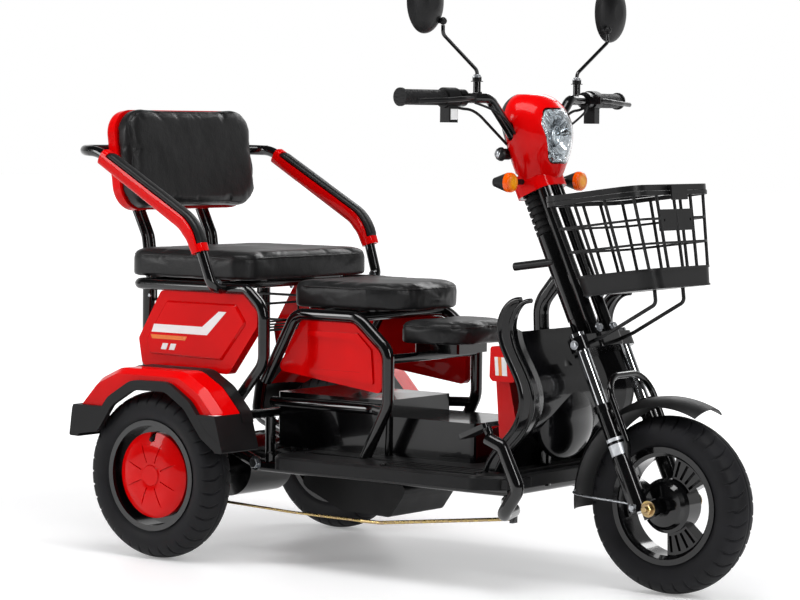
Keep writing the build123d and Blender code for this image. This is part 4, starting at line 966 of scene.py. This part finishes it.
# the bar is straight from its end to its inner bend; each part on it has a finish, a shape, how far in it is
# and its step from there. The lock's parts stand along its axis
handle = {"end": (720, 400, 1019.8), "inner": (760, 150, 1019.8)}
barParts = [("satinCoat", nut(19, 9), 216, (0, 0, 35)), ("brightZinc", nut(15, 5), 216, (0, 0, 44)),
            ("satinCoat", nut(9, 4), 185, (34, 0, 9))]
crownBolts = {"heights": (372, 448), "ahead": 54, "out": 27}
plate = {"along": 135, "step": (13.4, 0, -34), "across": (0.158, 0.987, 0), "thickness": 0.8,
         "shape": [(-10, -11), (10, -11), (10, 11), (-10, 11)]}
lock = {"place": (741, -50, 903), "axis": np.array([-0.35, -0.94, 0])}
lockParts = [("satinCoat", stub(24, 20), 0), ("satinCoat", roundHead(30, 12), 18),
             ("brightZinc", roundHead(18, 3), 29.2)]


def besideBar(side, along, step):
    end, inner = sided(handle["end"], side), sided(handle["inner"], side)
    inwards = (inner - end) / np.linalg.norm(inner - end)
    return end + (inwards * along + step) * millimetre


fittings = {"brightZinc": [], "satinCoat": [], "whiteVinyl": []}
for side in (-1, 1):
    for finishName, shape, along, step in barParts:
        fittings[finishName] += standAll(shape, besideBar(side, along, step), upwards)
    for height in crownBolts["heights"]:
        place = onColumn(height, crownBolts["ahead"], side * crownBolts["out"])
        fittings["brightZinc"] += standAll(nut(15, 7), place, steerAhead)
face = besideBar(-1, plate["along"], plate["step"])
fittings["whiteVinyl"].append(slab(plate["shape"], plate["thickness"], face, plate["across"], upwards))
for finishName, shape, out in lockParts:
    place = at(*lock["place"]) + lock["axis"] * out * millimetre
    fittings[finishName] += standAll(shape, place, lock["axis"])
makeByFinish("fittings", fittings, "fork")

# stays from the rear edge of the front fender to the feet of the fork legs, each with its bolt
stay = {"fender": [(922, 53, 204), (940, 66, 196)], "leg": [(-4, 26, 96), (-12, 27, 101)],
        "bolt": (-12, 27, 99), "radius": 2.1}
stays = []
for side, outwards in sides:
    path = [sided(place, side) for place in stay["fender"]]
    path += [onColumn(height, ahead, side * out) for height, ahead, out in stay["leg"]]
    height, ahead, out = stay["bolt"]
    stays.append(tube(smoothPath(path), stay["radius"] * millimetre, 10))
    stays += standAll(nut(13, 6), onColumn(height, ahead, side * out), outwards)
makePiece("fenderStays", stays, "fork", "brightZinc")

# tyre valves in the notches of the hubcaps
valve = {"out": 334, "height": 271, "axis": (0, 0.6, -0.25)}
for side, name, body in ((-1, "valveRight", "wheel_rear_right"), (1, "valveLeft", "wheel_rear_left")):
    axis = np.array(valve["axis"]) * [1, side, 1]
    surfaces = standAll(stub(10, 20), at(0, side * valve["out"], valve["height"]), axis)
    makePiece(name, surfaces, body, "gripRubber")
print("lamp and fittings made")

# each is given on the left and mirrored to the right
cables = {
    "brakeCable": {
        "diameter": 5,
        "route": [(766, 210, 1010), (784, 186, 1001), (792, 150, 985), (788, 112, 964), (778, 80, 946)]},
    "switchLoom": {
        "diameter": 6,
        "route": [(734, 262, 1008), (736, 230, 998), (744, 180, 996), (744, 118, 958), (744, 62, 924)]},
}


def makeCable(name, look, side):
    curve = bpy.data.curves.new(name, "CURVE")
    curve.dimensions = "3D"
    curve.resolution_u = 12
    line = curve.splines.new("NURBS")
    route = np.array([sided(point, side) for point in look["route"]])
    line.points.add(len(route) - 1)
    line.points.foreach_set("co", np.concatenate([route, np.ones((len(route), 1))], 1).ravel())
    line.order_u = 3
    line.use_endpoint_u = True
    piece = addObject(name, curve)
    points = coordinates(bpy.data.meshes.new_from_object(piece))
    curve.bevel_depth = look["diameter"] * millimetre / 2
    curve.bevel_resolution = 4
    curve.use_fill_caps = True
    curve.materials.append(made["gripRubber"])
    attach(piece, "fork")


for cableName, cableLook in cables.items():
    makeCable(cableName + "Right", cableLook, -1)
    makeCable(cableName + "Left", cableLook, 1)
print("cables made")

# each chevron runs outwards and forwards from its inner end to its outer end
tread = {"first": 648, "pitch": 24, "count": 6, "inner": 18, "outer": 84, "forward": 18, "width": 6,
         "height": 1.2, "base": 245.9}
chevrons = []
for side in (-1, 1):
    inner, outer = side * tread["inner"], side * tread["outer"]
    for number in range(tread["count"]):
        x = tread["first"] + tread["pitch"] * number
        tip = x + tread["forward"]
        shape = [(x, inner), (tip, outer), (tip + tread["width"], outer), (x + tread["width"], inner)]
        chevrons.append(slab(shape[::side], tread["height"], at(0, 0, tread["base"]), (1, 0, 0), (0, 1, 0)))
makePiece("footTread", chevrons, "frame", "gripRubber")
print("footboard tread made")
